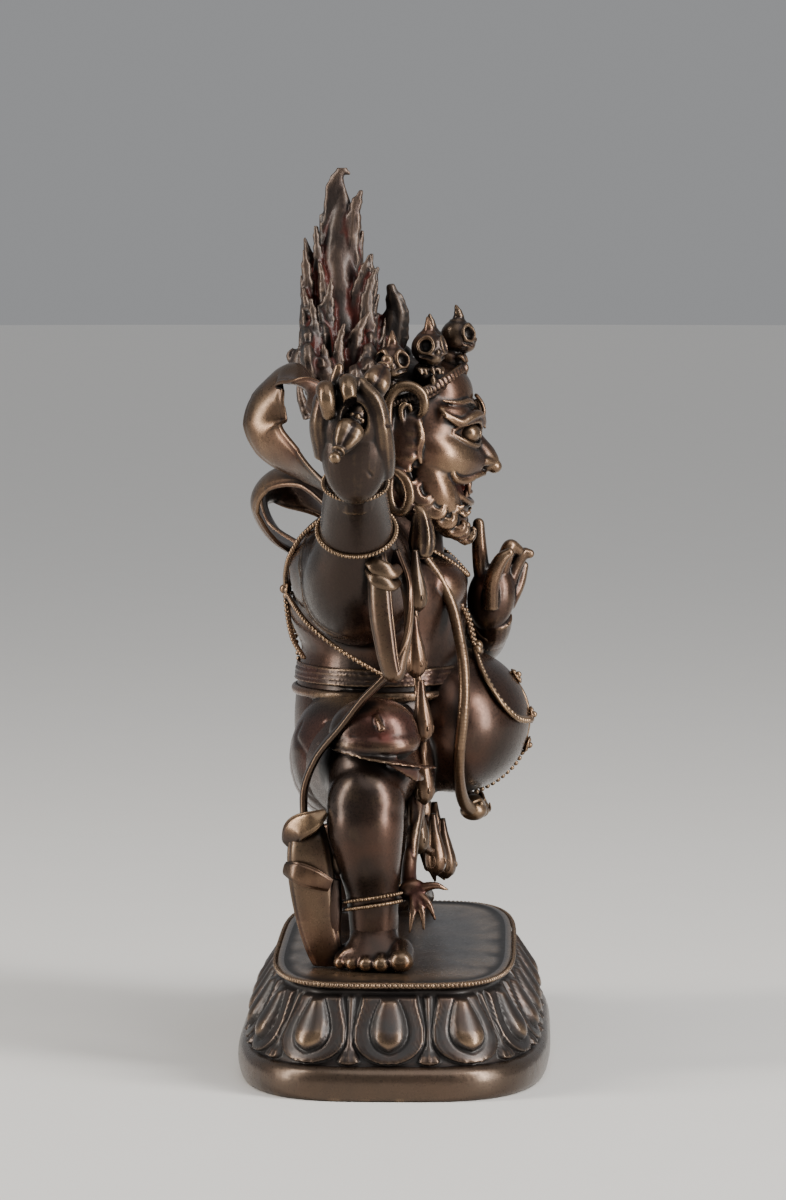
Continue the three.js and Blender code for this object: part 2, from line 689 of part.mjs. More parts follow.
// The right knee is bent, and the left leg stretches out to its side
function legs() {
  const rightThigh = [[-5, 6, 66], [-20, 5, 68], [-34, 3.4, 65], [-39.6, 3.4, 60]];
  const rightShin = [[-40, 3.4, 65], [-40.4, 3.5, 58], [-39.6, 3.5, 49], [-38, 3.2, 41], [-37, 3.2, 30]];
  const leftThigh = [[5, 6, 66], [17, 5, 61], [27, 3.4, 52], [34, 2.6, 45]];
  const leftShin = [[32, 2.8, 48], [37.6, 2.8, 41], [42, 2.8, 35], [44, 2.8, 29]];
  const anklet = (middle, axis) => [
    hoop([middle[0], middle[1], middle[2] + 1], [6.9, 6.9], 1, axis, { steps: 12, sides: 4 }),
    hoop([middle[0], middle[1], middle[2] - 1], [6.7, 6.7], 1, axis, { steps: 12, sides: 4 }),
  ];
  return [
    sweep(rightThigh, { wide: [16, 14.6, 10.6, 8.4], sides: 9, steps: 8, up: [0, 1, 0] }),
    sweep(rightShin, { wide: [7.6, 9.2, 7.4, 5.9, 5.2], sides: 9, steps: 9 }),
    sweep(leftThigh, { wide: [16, 14, 10.4, 8.4], sides: 9, steps: 8, up: [0, 1, 0] }),
    sweep(leftShin, { wide: [8.4, 8.2, 6.3, 5.2], sides: 9, steps: 7 }),
    ...anklet([-37.6, 3.2, 38.6], [0.1, 0, 1]),
    ...anklet([42.2, 2.8, 35], [-0.5, 0, 0.86]),
    ...foot([-37, 3.2], 180, -1),
    ...foot([44.4, 2.8], -14, 1),
  ];
}

// The tiger skin round the loins: a folded belt, the cloth over both thighs, the head with its
// muzzle over the right knee and a paw beside the shin
function tigerSkin() {
  const beltPath = (grow, z) => {
    const path = [];
    const steps = 16;
    for (let step = 0; step < steps; step += 1) {
      const angle = (step / steps) * FULL_TURN;
      path.push([(22 + grow) * Math.sin(angle), 2.2 + (18.6 + grow) * Math.cos(angle), z]);
    }
    return path;
  };
  const belt = { wide: 1.6, thick: 1.9, up: [0, 0, 1], sides: 5, steps: 16, closed: true };
  const claws = [[-42.4, -5.6, 33.4], [-42.4, -8.2, 34.4], [-41.6, -10.2, 36], [-39, -13.2, 41.6]];
  const cloth = { sides: 10, steps: 6, up: [0, 1, 0] };
  const rightCloth = [[-6, 6, 67], [-20, 5.4, 70], [-32, 4.4, 68]];
  const leftCloth = [[6, 6, 67], [17, 5.2, 63], [26, 4, 55]];
  const nose = [[-39, 3.4, 81], [-43.6, 2, 77], [-45, 1.4, 75]];
  const rightLeg = [[-26, -6, 64], [-28, -5.4, 54], [-33.6, -4.4, 44], [-37.4, -5, 40]];
  const leftLeg = [[29, -4, 55], [33, -6.4, 44], [36, -8.4, 36]];
  const claw = { wide: [1.6, 0.6], sides: 4, steps: 2, up: [1, 0, 0] };
  return [
    sweep(beltPath(0.4, 85), belt),
    sweep(beltPath(1, 82.4), belt),
    sweep(rightCloth, { wide: [17.4, 16.2, 12.4], ...cloth }),
    sweep(leftCloth, { wide: [17.4, 15.4, 12], ...cloth }),
    ball([-34.6, 3.6, 75.4], [8.4, 9.4, 8.6], { around: 9, down: 7 }),
    ball([-37.6, 2.4, 71], [8, 9.6, 3.8], { around: 9, down: 5, turn: [0, -8, 0] }),
    sweep(nose, { wide: [1.4, 2.4, 1.8], sides: 6, steps: 4, up: [0, 1, 0] }),
    sweep(rightLeg, { wide: [3, 1.8, 2, 2.6], sides: 6, steps: 7 }),
    ...claws.map((tip) => sweep([[-37.6, -5.4, 41], tip], claw)),
    sweep(leftLeg, { wide: [3.6, 2.4, 2], sides: 6, steps: 5 }),
  ];
}

function tigerEyes() {
  return [
    ball([-41.6, 6.4, 79.6], [2.4, 2.4, 0.8], { around: 6, down: 4 }),
    ball([-42.4, -1.6, 78.6], [2.4, 2.4, 0.8], { around: 6, down: 4 }),
  ];
}

// Snakes and garland
function snakes() {
  const body = [
    [-15, -6.4, 114], [-13.6, -13.6, 105], [-12.6, -15.2, 96], [-15.4, -14.8, 88],
    [-18.8, -15.6, 80], [-19, -15.4, 71], [-14, -15.2, 61], [-8, -17, 55.6],
  ];
  const forms = [
    sweep(body, { wide: SNAKE_RADIUS, sides: 6, steps: 18, up: [1, 0, 0] }),
    ball([-6.6, -18, 55], [3.2, 3, 2.6], { around: 6, down: 5 }),
  ];
  return bothSides(forms);
}

function headGarland() {
  const side = [
    [-19.4, -4, 114], [-25, -7, 104], [-27.4, -8.4, 91], [-28.6, -8.4, 76], [-27.4, -8.6, 62],
    [-22, -7.6, 51.4], [-12, -9.4, 46.6],
  ];
  const cord = [...side, [0, -10.4, 45.4], ...mirrorPath(side).reverse()];
  const forms = [sweep(cord, { wide: CORD_RADIUS, sides: 5, steps: 30, up: [0, 1, 0.02] })];
  const curve = new THREE.CatmullRomCurve3(cord.map(at));
  const heads = 15;
  for (let index = 0; index < heads; index += 1) {
    const { x, y, z } = curve.getPoint((index + 0.9) / (heads + 0.8));
    forms.push(sweep([[x, y, z + 2.6], [x, y - 0.6, z - 3.4]], { wide: [1, 2.2], sides: 5, steps: 2 }));
    forms.push(ball([x, y - 0.9, z - 4.6], [2.2, 2.3, 3], { around: 6, down: 5 }));
  }
  return forms;
}

// Bead strings: round the neck, down the chest, over the belly and round the back
function onBelly(degrees, z, proud) {
  const height = (z - BELLY_MIDDLE[2]) / BELLY_RADII[2];
  const reach = Math.sqrt(Math.max(1 - height * height, 0.02));
  const angle = THREE.MathUtils.degToRad(degrees);
  return [
    BELLY_MIDDLE[0] + (BELLY_RADII[0] * reach + proud) * Math.sin(angle),
    BELLY_MIDDLE[1] - (BELLY_RADII[1] * reach + proud) * Math.cos(angle),
    z,
  ];
}

function beadStrings() {
  const string = { wide: BEAD_RADIUS, sides: 4 };
  const belly = (side, middle) => {
    const path = [];
    for (let step = -4; step <= 4; step += 1) {
      const share = Math.abs(step) / 4;
      path.push(onBelly(step * 21, middle + (side - middle) * share ** 2, 0.1));
    }
    return path;
  };
  const symmetric = (side, middle) => [...side, middle, ...mirrorPath(side).reverse()];
  const neck = symmetric([[-13, 0, 117], [-9, -11.4, 112.6]], [0, -13.6, 110.6]);
  const chest = symmetric([[-14, -6, 113.6], [-9.6, -16, 104], [-5, -16.8, 96]], [0, -17.2, 92]);
  const shoulder = [[-29, 15.6, 121.6], [-23, 19.4, 117.8], [-15, 22, 112.4], [-6, 23.2, 107.6], [0, 23.4, 105]];
  const leftShoulder = [[0, 23.4, 105], [8, 22, 108], [16, 17.6, 109.6], [22, 13, 112]];
  const flank = [[-4, 22.6, 103.6], [-14, 20.4, 101.6], [-21, 15, 97.4], [-23.6, 8, 92.4], [-22, 0, 87.4]];
  const underBelly = [onBelly(0, 69.4, 0.1), onBelly(0, 65, 0.1), onBelly(0, 61, 0.1), [0, -18, 58]];
  const stud = { around: 6, down: 4 };
  const florets = [85, 76.6, 69.4].map((z) => ball(onBelly(0, z, 0), 1.7, stud));
  return [
    sweep(neck, { ...string, steps: 10 }),
    sweep(chest, { ...string, steps: 14 }),
    sweep(shoulder, { ...string, steps: 9, up: [0, 1, 1] }),
    sweep(leftShoulder, { ...string, steps: 7, up: [0, 1, 1] }),
    sweep(belly(86, 76.4), { ...string, steps: 16, up: [0, 0, 1] }),
    sweep(underBelly, { ...string, steps: 6, up: [1, 0, 0] }),
    ...bothSides([
      sweep(flank, { ...string, steps: 8, up: [0, 0, 1] }),
      ball(onBelly(-50, 86.6, 0), 2, { around: 6, down: 4 }),
    ]),
    ball([0, 23.6, 104.4], [2.4, 1.4, 2.6], { around: 6, down: 4 }),
    sweep([[0, 23, 101.6], [0, 21.6, 94], [0, 21, 86.6]], { wide: 1.1, sides: 4, steps: 4 }),
    ...florets,
  ];
}

// The scarf lies over the shoulders and floats in stiff loops behind and beside the arms, and its
// ends fall to the plinth beside each foot. Each ribbon is a path, its half widths along it and the
// directions that its face looks in along it.
const RIGHT_RIBBONS = [
  {
    path: [
      [-47, 12, 130], [-38, 20, 134.6], [-31.4, 27.4, 141], [-30, 27.4, 149],
      [-30.6, 23.4, 154.6], [-36, 19, 153], [-50, 13, 147],
    ],
    wide: [3, 4.4, 4.8, 4.2, 3.4, 3.4, 3],
    up: [[0, 1, -1], [-0.8, 1, -0.6], [-1, 0.6, 0], [-0.6, 1, 0.8], [0, 0, 1], [0.4, -0.6, -1]],
    steps: 12,
  },
  {
    path: [
      [-42, 9, 124], [-32, 17, 131.4], [-24, 26.6, 131.4],
      [-19, 30.4, 126], [-14, 27.6, 118.4], [-8, 20, 113],
    ],
    wide: [2.6, 3.8, 4.2, 4.2, 4, 3.4],
    up: [[0, 0, 1], [0.2, 0.4, 1], [0, 1, 0.6], [0, 1, 0], [0, 1, -0.8], [0, 1, -1]],
    steps: 11,
  },
  {
    path: [
      [-40, 3, 118], [-44.6, 2.2, 112], [-46, 1.4, 102], [-45.6, -1.4, 90],
      [-43.6, -4, 96], [-42, -4.4, 108], [-39, -1, 116],
    ],
    wide: [2, 2.2, 2.8, 2.2, 1.8, 1.6, 1.6],
    up: [[-1, 0, 0], [-1, -0.2, 0], [-1, 0, -0.6], [0.2, -1, -0.4], [1, -0.2, 0.2]],
    steps: 12,
  },
  {
    path: [[-42, -1, 90], [-37, 8, 81], [-34, 15.6, 72], [-34, 18.8, 63], [-36, 18.4, 55]],
    wide: 3.6,
    up: [[0, -0.6, 1], [0, 1, 1], [0, 1, 0.4], [0, 1, 0]],
    steps: 9,
  },
  {
    path: [[-36, 18, 60], [-39.6, 16.6, 54], [-40.6, 15.4, 45], [-40.2, 13.4, 34], [-38.6, 12.4, 23]],
    wide: [3.6, 5.8, 6, 4.8, 3],
    thick: [1.2, 1.6, 1.4, 1.2, 1.2],
    up: [-1, 0, 0],
    steps: 9,
  },
  {
    path: [[-39, 21, 55], [-42, 18, 57.6], [-41.6, 13.6, 59]],
    wide: [2.2, 2.8, 1.4],
    up: [-0.8, 0, 0.6],
    steps: 4,
  },
];
const LEFT_RIBBONS = [
  {
    path: [[33, 6, 108], [34, 15, 118], [28, 26.6, 126], [20, 30.4, 124], [14, 27.6, 117.4], [8, 20, 113]],
    wide: [2.6, 3.8, 4.2, 4.2, 4, 3.4],
    up: [[0, 1, -1], [0, 1, -0.4], [0, 1, 0.6], [0, 1, 0], [0, 1, -0.8], [0, 1, -1]],
    steps: 11,
  },
  {
    path: [
      [38, -1, 94], [41.6, 2.4, 88], [42.4, 3, 78], [41, 0.4, 68.6],
      [38.4, -2, 74], [36, -4, 84], [35, -6, 92],
    ],
    wide: [2.4, 2.6, 2.8, 2.2, 2, 2, 2],
    up: [[1, 0, 0], [1, 0, 0], [1, 0, -0.6], [-0.2, -1, -0.4], [-1, -0.2, 0.2]],
    steps: 12,
  },
  {
    path: [[40, 1, 71], [37, 9, 63], [36, 14, 52], [38, 14, 42]],
    wide: 3.6,
    up: [[0, -0.6, 1], [0, 1, 1], [0, 1, 0.4], [0, 1, 0]],
    steps: 8,
  },
  {
    path: [[38, 14, 46], [42, 13.6, 40], [44, 12.6, 33], [43.6, 12, 23]],
    wide: [3.4, 5, 4.6, 3],
    thick: [1.2, 1.6, 1.3, 1.2],
    up: [1, 0, 0],
    steps: 7,
  },
];

function scarf() {
  const ribbons = [...RIGHT_RIBBONS, ...LEFT_RIBBONS];
  const plain = { thick: RIBBON_THICK, sides: 6 };
  const forms = ribbons.map(({ path, ...shape }) => sweep(path, { ...plain, ...shape }));
  const lobe = ball([-40, 9.4, 51], [1.4, 2.6, 4], { around: 6, down: 4 });
  return [...forms, lobe];
}

function figure() {
  const forms = [
    ...torso(), ...head(), ...crown(), ...hair(), ...rightArm(), ...vajra(), ...leftArm(), ...legs(),
    ...tigerSkin(), ...snakes(), ...headGarland(), ...beadStrings(), ...scarf(),
  ];
  const underPlate = new THREE.BoxGeometry(160, 90, SEAT);
  underPlate.translate(0, 0, SEAT / 2);
  const cuts = [mouthOpening(), ...skullSockets(), ...tigerEyes(), underPlate];
  const joined = wasm.Manifold.union(forms.map(asSolid));
  const cut = joined.subtract(wasm.Manifold.union(cuts.map(asSolid)));
  return fewerFacets(outerShell(asGeometry(cut)), FIGURE_FACETS);
}

// The finishes
const castBronze = new THREE.MeshStandardMaterial({ color: 0x3a241a, roughness: 0.38, metalness: 0.85 });
const plinthBronze = new THREE.MeshStandardMaterial({ color: 0x44291c, roughness: 0.4, metalness: 0.85 });

function piece(name, geometry, material) {
  const mesh = new THREE.Mesh(geometry, material);
  mesh.name = name;
  return mesh;
}

const statue = new THREE.Group();
statue.add(piece('lotus_base', lotusBase(), plinthBronze));
const cast = piece('figure', figure(), castBronze);
cast.position.y = FIGURE_BACK;
statue.add(cast);

export default statue;
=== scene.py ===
"""The looks of a small cast bronze guardian on its lotus plinth.

Forms are worked out in millimetres in the figure's own frame: +Z up, the figure looks along -Y
and its right side is at -X. A finished piece is put into the part's frame, in metres.
"""

import math
import random

import bmesh
import bpy
import numpy as np
from bpy.props import FloatProperty, FloatVectorProperty, IntProperty, PointerProperty
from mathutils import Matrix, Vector


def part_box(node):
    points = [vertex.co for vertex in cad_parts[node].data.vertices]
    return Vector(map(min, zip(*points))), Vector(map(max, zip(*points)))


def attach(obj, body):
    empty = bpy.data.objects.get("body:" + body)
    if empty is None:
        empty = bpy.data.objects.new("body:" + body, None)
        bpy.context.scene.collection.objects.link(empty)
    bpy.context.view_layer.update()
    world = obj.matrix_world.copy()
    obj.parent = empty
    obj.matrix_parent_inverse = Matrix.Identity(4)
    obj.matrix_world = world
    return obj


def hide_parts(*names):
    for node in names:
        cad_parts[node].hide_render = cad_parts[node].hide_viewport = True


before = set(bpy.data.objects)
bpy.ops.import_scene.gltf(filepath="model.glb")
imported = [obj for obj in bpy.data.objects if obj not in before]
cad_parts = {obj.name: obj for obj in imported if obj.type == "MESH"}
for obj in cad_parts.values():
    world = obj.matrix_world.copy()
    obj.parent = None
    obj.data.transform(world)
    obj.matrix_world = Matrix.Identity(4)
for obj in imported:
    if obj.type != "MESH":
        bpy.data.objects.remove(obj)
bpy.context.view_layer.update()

bl_info = {
    "name": "Bronze guardian",
    "version": (1, 0, 0),
    "blender": (4, 5, 0),
    "location": "3D View > Sidebar > Guardian",
    "description": "Makes the fine surface of a cast bronze guardian and its lotus plinth",
    "category": "Object",
}

# Sizes in millimetres
MM = 0.001
PLINTH_LOW, PLINTH_HIGH = (np.array(corner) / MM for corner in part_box("lotus_base"))
FIGURE_LOW, FIGURE_HIGH = (np.array(corner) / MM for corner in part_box("figure"))
PLINTH_LENGTH = PLINTH_HIGH[0] - PLINTH_LOW[0]
PLINTH_DEPTH = PLINTH_HIGH[1] - PLINTH_LOW[1]
PLINTH_HEIGHT = PLINTH_HIGH[2]
TOTAL_HEIGHT = FIGURE_HIGH[2]
SEAT = PLINTH_HEIGHT + 0.05
FIGURE_BACK = 0.9
HEAD_MIDDLE = (0, -4, 140)
HEAD_RADII = (15, 15.5, 15.5)
BELLY_MIDDLE = (0, -14, 75)
BELLY_RADII = (22, 17, 16.5)
CROWN_RADIUS = 14.4
FULL_TURN = 2 * math.pi
SIDES = (-1, 1)


class GuardianSizes(bpy.types.PropertyGroup):
    """The sizes that shape the casting"""

    bead: FloatProperty(
        name="Bead", description="Radius of the jewellery beads", default=0.00058, unit="LENGTH"
    )
    ring_bead: FloatProperty(
        name="Ring bead", description="Radius of the armlets' beads", default=0.0004, unit="LENGTH"
    )
    rim_bead: FloatProperty(
        name="Rim bead", description="Radius of the plinth's rim beads", default=0.00055, unit="LENGTH"
    )
    ribbon: FloatProperty(
        name="Ribbon", description="Half thickness of the scarf", default=0.0009, unit="LENGTH"
    )
    petals: IntProperty(name="Petals", description="Petals round the plinth", default=20, min=8)
    skull: FloatProperty(name="Skull", description="Radius of a crown skull", default=0.0039, unit="LENGTH")
    snake: FloatProperty(
        name="Snake", description="Half thickness of a snake", default=0.00128, unit="LENGTH"
    )


class GuardianColours(bpy.types.PropertyGroup):
    """The colours of the metal, its recesses and what is left of its paint"""

    patina: FloatVectorProperty(
        name="Patina", description="Dark brown of the metal", subtype="COLOR", default=(0.024, 0.0135, 0.009)
    )
    warm: FloatVectorProperty(
        name="Warm patina", description="Reddish brown patches", subtype="COLOR",
        default=(0.06, 0.026, 0.0145),
    )
    # This brass colour also paints highlights on the cheeks, forehead and petal bosses
    brass: FloatVectorProperty(
        name="Rubbed metal", description="Metal where it is rubbed", subtype="COLOR",
        default=(0.42, 0.275, 0.155),
    )
    # Near black for dark patches, dark dust and painted shade in hollows and between forms
    shade_grime_tint: FloatVectorProperty(
        name="Shade_grime_tint", description="Grime in the recesses", subtype="COLOR", default=(0.009, 0.006, 0.005)
    )
    paint: FloatVectorProperty(
        name="Paint", description="Red pigment", subtype="COLOR", default=(0.11, 0.02, 0.013)
    )
    floor: FloatVectorProperty(
        name="Floor", description="Pale floor", subtype="COLOR", default=(0.66, 0.65, 0.63)
    )


def sizes():
    return bpy.context.scene.guardian_sizes


def colours():
    return bpy.context.scene.guardian_colours


# Curves and forms

def curve(knots, times, closed=False):
    """Places on the smooth curve through a row of knots, at times from 0 to 1"""
    knots = np.array(knots, float)
    if closed:
        padded = np.vstack([knots[-1:], knots, knots[:2]])
        spans = len(knots)
    else:
        padded = np.vstack([2 * knots[0] - knots[1], knots, 2 * knots[-1] - knots[-2]])
        spans = len(knots) - 1
    place = np.clip(times, 0, 1) * spans
    span = np.minimum(place.astype(int), spans - 1)
    share = (place - span)[:, None]
    a, b, c, d = (padded[span + step] for step in range(4))
    near, mid, far = (
        np.sqrt(np.linalg.norm(q - p, axis=1))[:, None] + 1e-6 for p, q in ((a, b), (b, c), (c, d))
    )
    leave = ((b - a) / near - (c - a) / (near + mid) + (c - b) / mid) * mid
    reach = ((c - b) / mid - (d - b) / (mid + far) + (d - c) / far) * mid
    square = 3 * (c - b) - 2 * leave - reach
    cube = 2 * (b - c) + leave + reach
    return b + leave * share + square * share ** 2 + cube * share ** 3


def ease(values, times):
    """A value that runs smoothly through a list as time goes from 0 to 1"""
    if callable(values):
        return np.array([values(time) for time in times])
    values = np.atleast_1d(np.array(values, float))
    if len(values) == 1:
        return np.full(len(times), values[0])
    padded = np.concatenate([[2 * values[0] - values[1]], values, [2 * values[-1] - values[-2]]])
    place = np.clip(times, 0, 1) * (len(values) - 1)
    span = np.minimum(place.astype(int), len(values) - 2)
    share = place - span
    a, b, c, d = (padded[span + step] for step in range(4))
    smooth = b + 0.5 * share * (c - a + share * (2 * a - 5 * b + 4 * c - d + share * (3 * (b - c) + d - a)))
    return np.clip(smooth, np.minimum(b, c) * 0.9, np.maximum(b, c) * 1.1)


def unit(vectors):
    """The same directions with length 1"""
    return vectors / (np.linalg.norm(vectors, axis=-1, keepdims=True) + 1e-12)


PLAIN_FORMS = {}


def keep_form(key, bm):
    """Stores a plain form with what is needed to bend it, so that it is made only once"""
    mesh = bpy.data.meshes.new("plain form")
    bm.to_mesh(mesh)
    bm.free()
    mesh.calc_loop_triangles()
    triangles = np.zeros(len(mesh.loop_triangles) * 3, np.int32)
    mesh.loop_triangles.foreach_get("vertices", triangles)
    places = read(mesh)
    PLAIN_FORMS[key] = (mesh, places, triangles.reshape(-1, 3))
    return PLAIN_FORMS[key]


def plain_tube(sides, steps, closed):
    """A straight tube of radius 1, with its rings 1 apart"""
    key = ("tube", sides, steps, closed)
    if key in PLAIN_FORMS:
        return PLAIN_FORMS[key]
    bm = bmesh.new()
    ring = bmesh.ops.create_circle(bm, segments=sides, radius=1)["verts"]
    rim = list({edge for vert in ring for edge in vert.link_edges})
    rows = steps - 1 if closed else steps
    made = bmesh.ops.spin(
        bm, geom=ring + rim, cent=(0, 0, 0), axis=(0, 0, 1), dvec=(0, 0, 1), angle=0, steps=rows,
        use_duplicate=False,
    )
    last = [part for part in made["geom_last"] if isinstance(part, bmesh.types.BMEdge)]
    if closed:
        bmesh.ops.bridge_loops(bm, edges=rim + last)
    else:
        for loop in (rim, last):
            bmesh.ops.contextual_create(bm, geom=loop)
    bmesh.ops.recalc_face_normals(bm, faces=bm.faces)
    return keep_form(key, bm)


def plain_ball(around, down):
    """A ball of radius 1"""
    key = ("ball", around, down)
    if key in PLAIN_FORMS:
        return PLAIN_FORMS[key]
    bm = bmesh.new()
    bmesh.ops.create_uvsphere(bm, u_segments=around, v_segments=down, radius=1)
    return keep_form(key, bm)


def read(mesh):
    """The places of a mesh's vertices"""
    places = np.zeros(len(mesh.vertices) * 3)
    mesh.vertices.foreach_get("co", places)
    return places.reshape(-1, 3)


def write(mesh, places):
    """Moves a mesh's vertices to new places"""
    mesh.vertices.foreach_set("co", np.ascontiguousarray(places).ravel())
    mesh.update()


def bent(form, places):
    """A copy of a plain form with its vertices moved, and its faces pointing out"""
    plain, _, triangles = form
    mesh = plain.copy()
    a, b, c = (places[triangles[:, corner]] for corner in range(3))
    if np.einsum("ij,ij->", a, np.cross(b, c)) < 0:
        mesh.flip_normals()
    write(mesh, places)
    return mesh


def tube(
    path, wide, thick=None, up=(0, -1, 0), sides=14, steps=None, closed=False, relief=None, flat=0, cup=None
):
    """A limb, cord or ribbon along a smooth path. Its section is an ellipse, wide across the path
    and thick towards up, squared by flat from 0 to 1 and with its edges raised towards up by cup.
    relief(time, angle) adds to its radius."""
    steps = steps or 6 * (len(path) - 1)
    form = plain_tube(sides, steps, closed)
    row = np.rint(form[1][:, 2]).astype(int)
    angle = np.arctan2(form[1][:, 1], form[1][:, 0])
    rows = steps if closed else steps + 1
    times = np.arange(rows) / steps
    spots = curve(path, times, closed)
    nudge = 1e-4
    if closed:
        ahead = curve(path, (times + nudge) % 1, True) - curve(path, (times - nudge) % 1, True)
    else:
        ahead = curve(path, np.clip(times + nudge, 0, 1)) - curve(path, np.clip(times - nudge, 0, 1))
    ahead = unit(ahead)
    ups = np.atleast_2d(np.array(up, float))
    marks = np.linspace(0, 1, len(ups))
    upward = np.stack([np.interp(times, marks, ups[:, axis]) for axis in range(3)], 1)
    across = unit(np.cross(upward, ahead))
    face = np.cross(ahead, across)
    half_wide = ease(wide, times)[row]
    half_thick = half_wide if thick is None else ease(thick, times)[row]
    if relief is not None:
        extra = relief(times[row], angle)
        half_wide = half_wide + extra
        half_thick = half_thick + extra
    cos, sin = np.cos(angle), np.sin(angle)
    if flat:
        power = 1 - 0.6 * flat
        cos, sin = np.sign(cos) * np.abs(cos) ** power, np.sign(sin) * np.abs(sin) ** power
    lift = half_thick * sin
    if cup is not None:
        lift = lift + ease(cup, times)[row] * cos ** 2
    offset = across[row] * (half_wide * cos)[:, None] + face[row] * lift[:, None]
    return bent(form, spots[row] + offset)


def turned_matrix(turn):
    """The matrix for turns about Z, then Y, then X, from three angles in degrees"""
    x, y, z = (math.radians(angle) for angle in turn)
    about_x = np.array([[1, 0, 0], [0, math.cos(x), -math.sin(x)], [0, math.sin(x), math.cos(x)]])
    about_y = np.array([[math.cos(y), 0, math.sin(y)], [0, 1, 0], [-math.sin(y), 0, math.cos(y)]])
    about_z = np.array([[math.cos(z), -math.sin(z), 0], [math.sin(z), math.cos(z), 0], [0, 0, 1]])
    return about_x @ about_y @ about_z


def ball(middle, radii, turn=(0, 0, 0), around=20, down=14):
    """An egg, turned by three angles in degrees if need be"""
    form = plain_ball(around, down)
    places = form[1] * (radii if np.ndim(radii) else (radii,) * 3)
    return bent(form, places @ turned_matrix(turn).T + middle)


def facing(axis):
    """A frame whose third direction is the given axis"""
    out = unit(np.array(axis, float))
    side = unit(np.cross((0, 0, 1), out)) if abs(out[2]) < 0.99 else np.array([1.0, 0, 0])
    return np.stack([side, np.cross(out, side), out], 1)


def hoop(middle, radii, thickness, axis, steps=40, sides=8):
    """A ring round an axis"""
    angles = [math.radians(360 * step / steps) for step in range(steps)]
    flat = np.array([[radii[0] * math.cos(angle), radii[1] * math.sin(angle), 0] for angle in angles])
    path = flat @ facing(axis).T + middle
    return tube(path, thickness, up=axis, sides=sides, steps=steps, closed=True)


def both_sides(forms):
    """Forms and their mirror images"""
    others = []
    for form in forms:
        other = form.copy()
        write(other, read(form) * (-1, 1, 1))
        other.flip_normals()
        others.append(other)
    return forms + others


def mirror_path(path):
    return [(-x, y, z) for x, y, z in path]


def gather(name, forms):
    """One object from a list of forms"""
    bm = bmesh.new()
    for form in forms:
        bm.from_mesh(form)
        bpy.data.meshes.remove(form)
    mesh = bpy.data.meshes.new(name)
    bm.to_mesh(mesh)
    bm.free()
    piece = bpy.data.objects.new(name, mesh)
    bpy.context.scene.collection.objects.link(piece)
    return piece


def settle(piece):
    """Applies a piece's modifiers"""
    graph = bpy.context.evaluated_depsgraph_get()
    mesh = bpy.data.meshes.new_from_object(piece.evaluated_get(graph))
    old = piece.data
    piece.modifiers.clear()
    piece.data = mesh
    mesh.name = piece.name
    bpy.data.meshes.remove(old)


def cast(name, forms, grain, soften):
    """Fuses forms into one skin, as in a wax model, with a grid of the given fineness"""
    piece = gather(name, forms)
    fuse = piece.modifiers.new("Fuse", "REMESH")
    fuse.mode = "VOXEL"
    fuse.voxel_size = grain
    smooth = piece.modifiers.new("Soften", "SMOOTH")
    smooth.factor = 0.5
    smooth.iterations = soften
    settle(piece)
    return piece


def triangle_count(piece):
    piece.data.calc_loop_triangles()
    return len(piece.data.loop_triangles)


def thin_out(piece, most):
    """Takes out the faces that matter least, down to a number of triangles"""
    count = triangle_count(piece)
    if count > most:
        fewer = piece.modifiers.new("Thin out", "DECIMATE")
        fewer.ratio = most / count
        settle(piece)


def normals_of(mesh):
    normals = np.zeros(len(mesh.vertices) * 3)
    mesh.vertex_normals.foreach_get("vector", normals)
    return normals.reshape(-1, 3)


def carve(piece, depth):
    """Moves a piece's skin inwards by depth(places), in millimetres"""
    places = read(piece.data)
    write(piece.data, places - normals_of(piece.data) * depth(places)[:, None])


FAR_AWAY = 99.0
PLACES_AT_ONCE = 20000


def near_path(places, path):
    """The distance of each place from a curve, or a large number beyond the curve's own box"""
    line = curve(path, np.linspace(0, 1, 60))
    low, high = line.min(0) - 2, line.max(0) + 2
    found = np.full(len(places), FAR_AWAY)
    close = np.flatnonzero(np.all((places > low) & (places < high), axis=1))
    for start in range(0, len(close), PLACES_AT_ONCE):
        some = close[start:start + PLACES_AT_ONCE]
        found[some] = np.linalg.norm(places[some][:, None] - line[None], axis=2).min(1)
    return found


def groove(places, path, half, depth):
    """The depth of a line engraved along a curve"""
    gap = near_path(places, path)
    return depth * np.exp(-((gap / half) ** 2))


def hollow(piece, middle, radii, direction):
    """Presses an egg-shaped hollow into a piece along a direction"""
    places = read(piece.data)
    push = unit(np.array(direction, float))
    inside = (places - middle) / radii
    reach = push / radii
    a = reach @ reach
    b = inside @ reach
    c = np.einsum("ij,ij->i", inside, inside) - 1
    hit = c < 0
    way = (-b[hit] + np.sqrt(np.maximum(b[hit] ** 2 - a * c[hit], 0))) / a
    places[hit] += push * way[:, None]
    write(piece.data, places)


def ripple(places, scale, seed=0, octaves=3):
    """A soft random field between about -1 and 1, from crossed waves"""
    draw = np.random.default_rng(seed)
    total = np.zeros(len(places))
    weight = 1.0
    for _ in range(octaves):
        for _ in range(5):
            way = unit(draw.normal(size=3)) * (2.2 / scale)
            total += weight * np.sin(places @ way + draw.uniform(0, FULL_TURN))
        scale *= 0.5
        weight *= 0.5
    return total / 4.5


def soft_step(low, high, values):
    """Rises smoothly from 0 at low to 1 at high"""
    share = np.clip((values - low) / (high - low), 0, 1)
    return share * share * (3 - 2 * share)


# Wear, painted highlights and painted shade in hollows

def even_out(values, ends, count, rounds):
    """Values evened out along a mesh's edges"""
    share = np.maximum(np.bincount(ends.ravel(), minlength=count), 1)
    for _ in range(rounds):
        sums = np.bincount(ends[:, 0], weights=values[ends[:, 1]], minlength=count)
        sums += np.bincount(ends[:, 1], weights=values[ends[:, 0]], minlength=count)
        values = 0.5 * values + 0.5 * sums / share
    return values


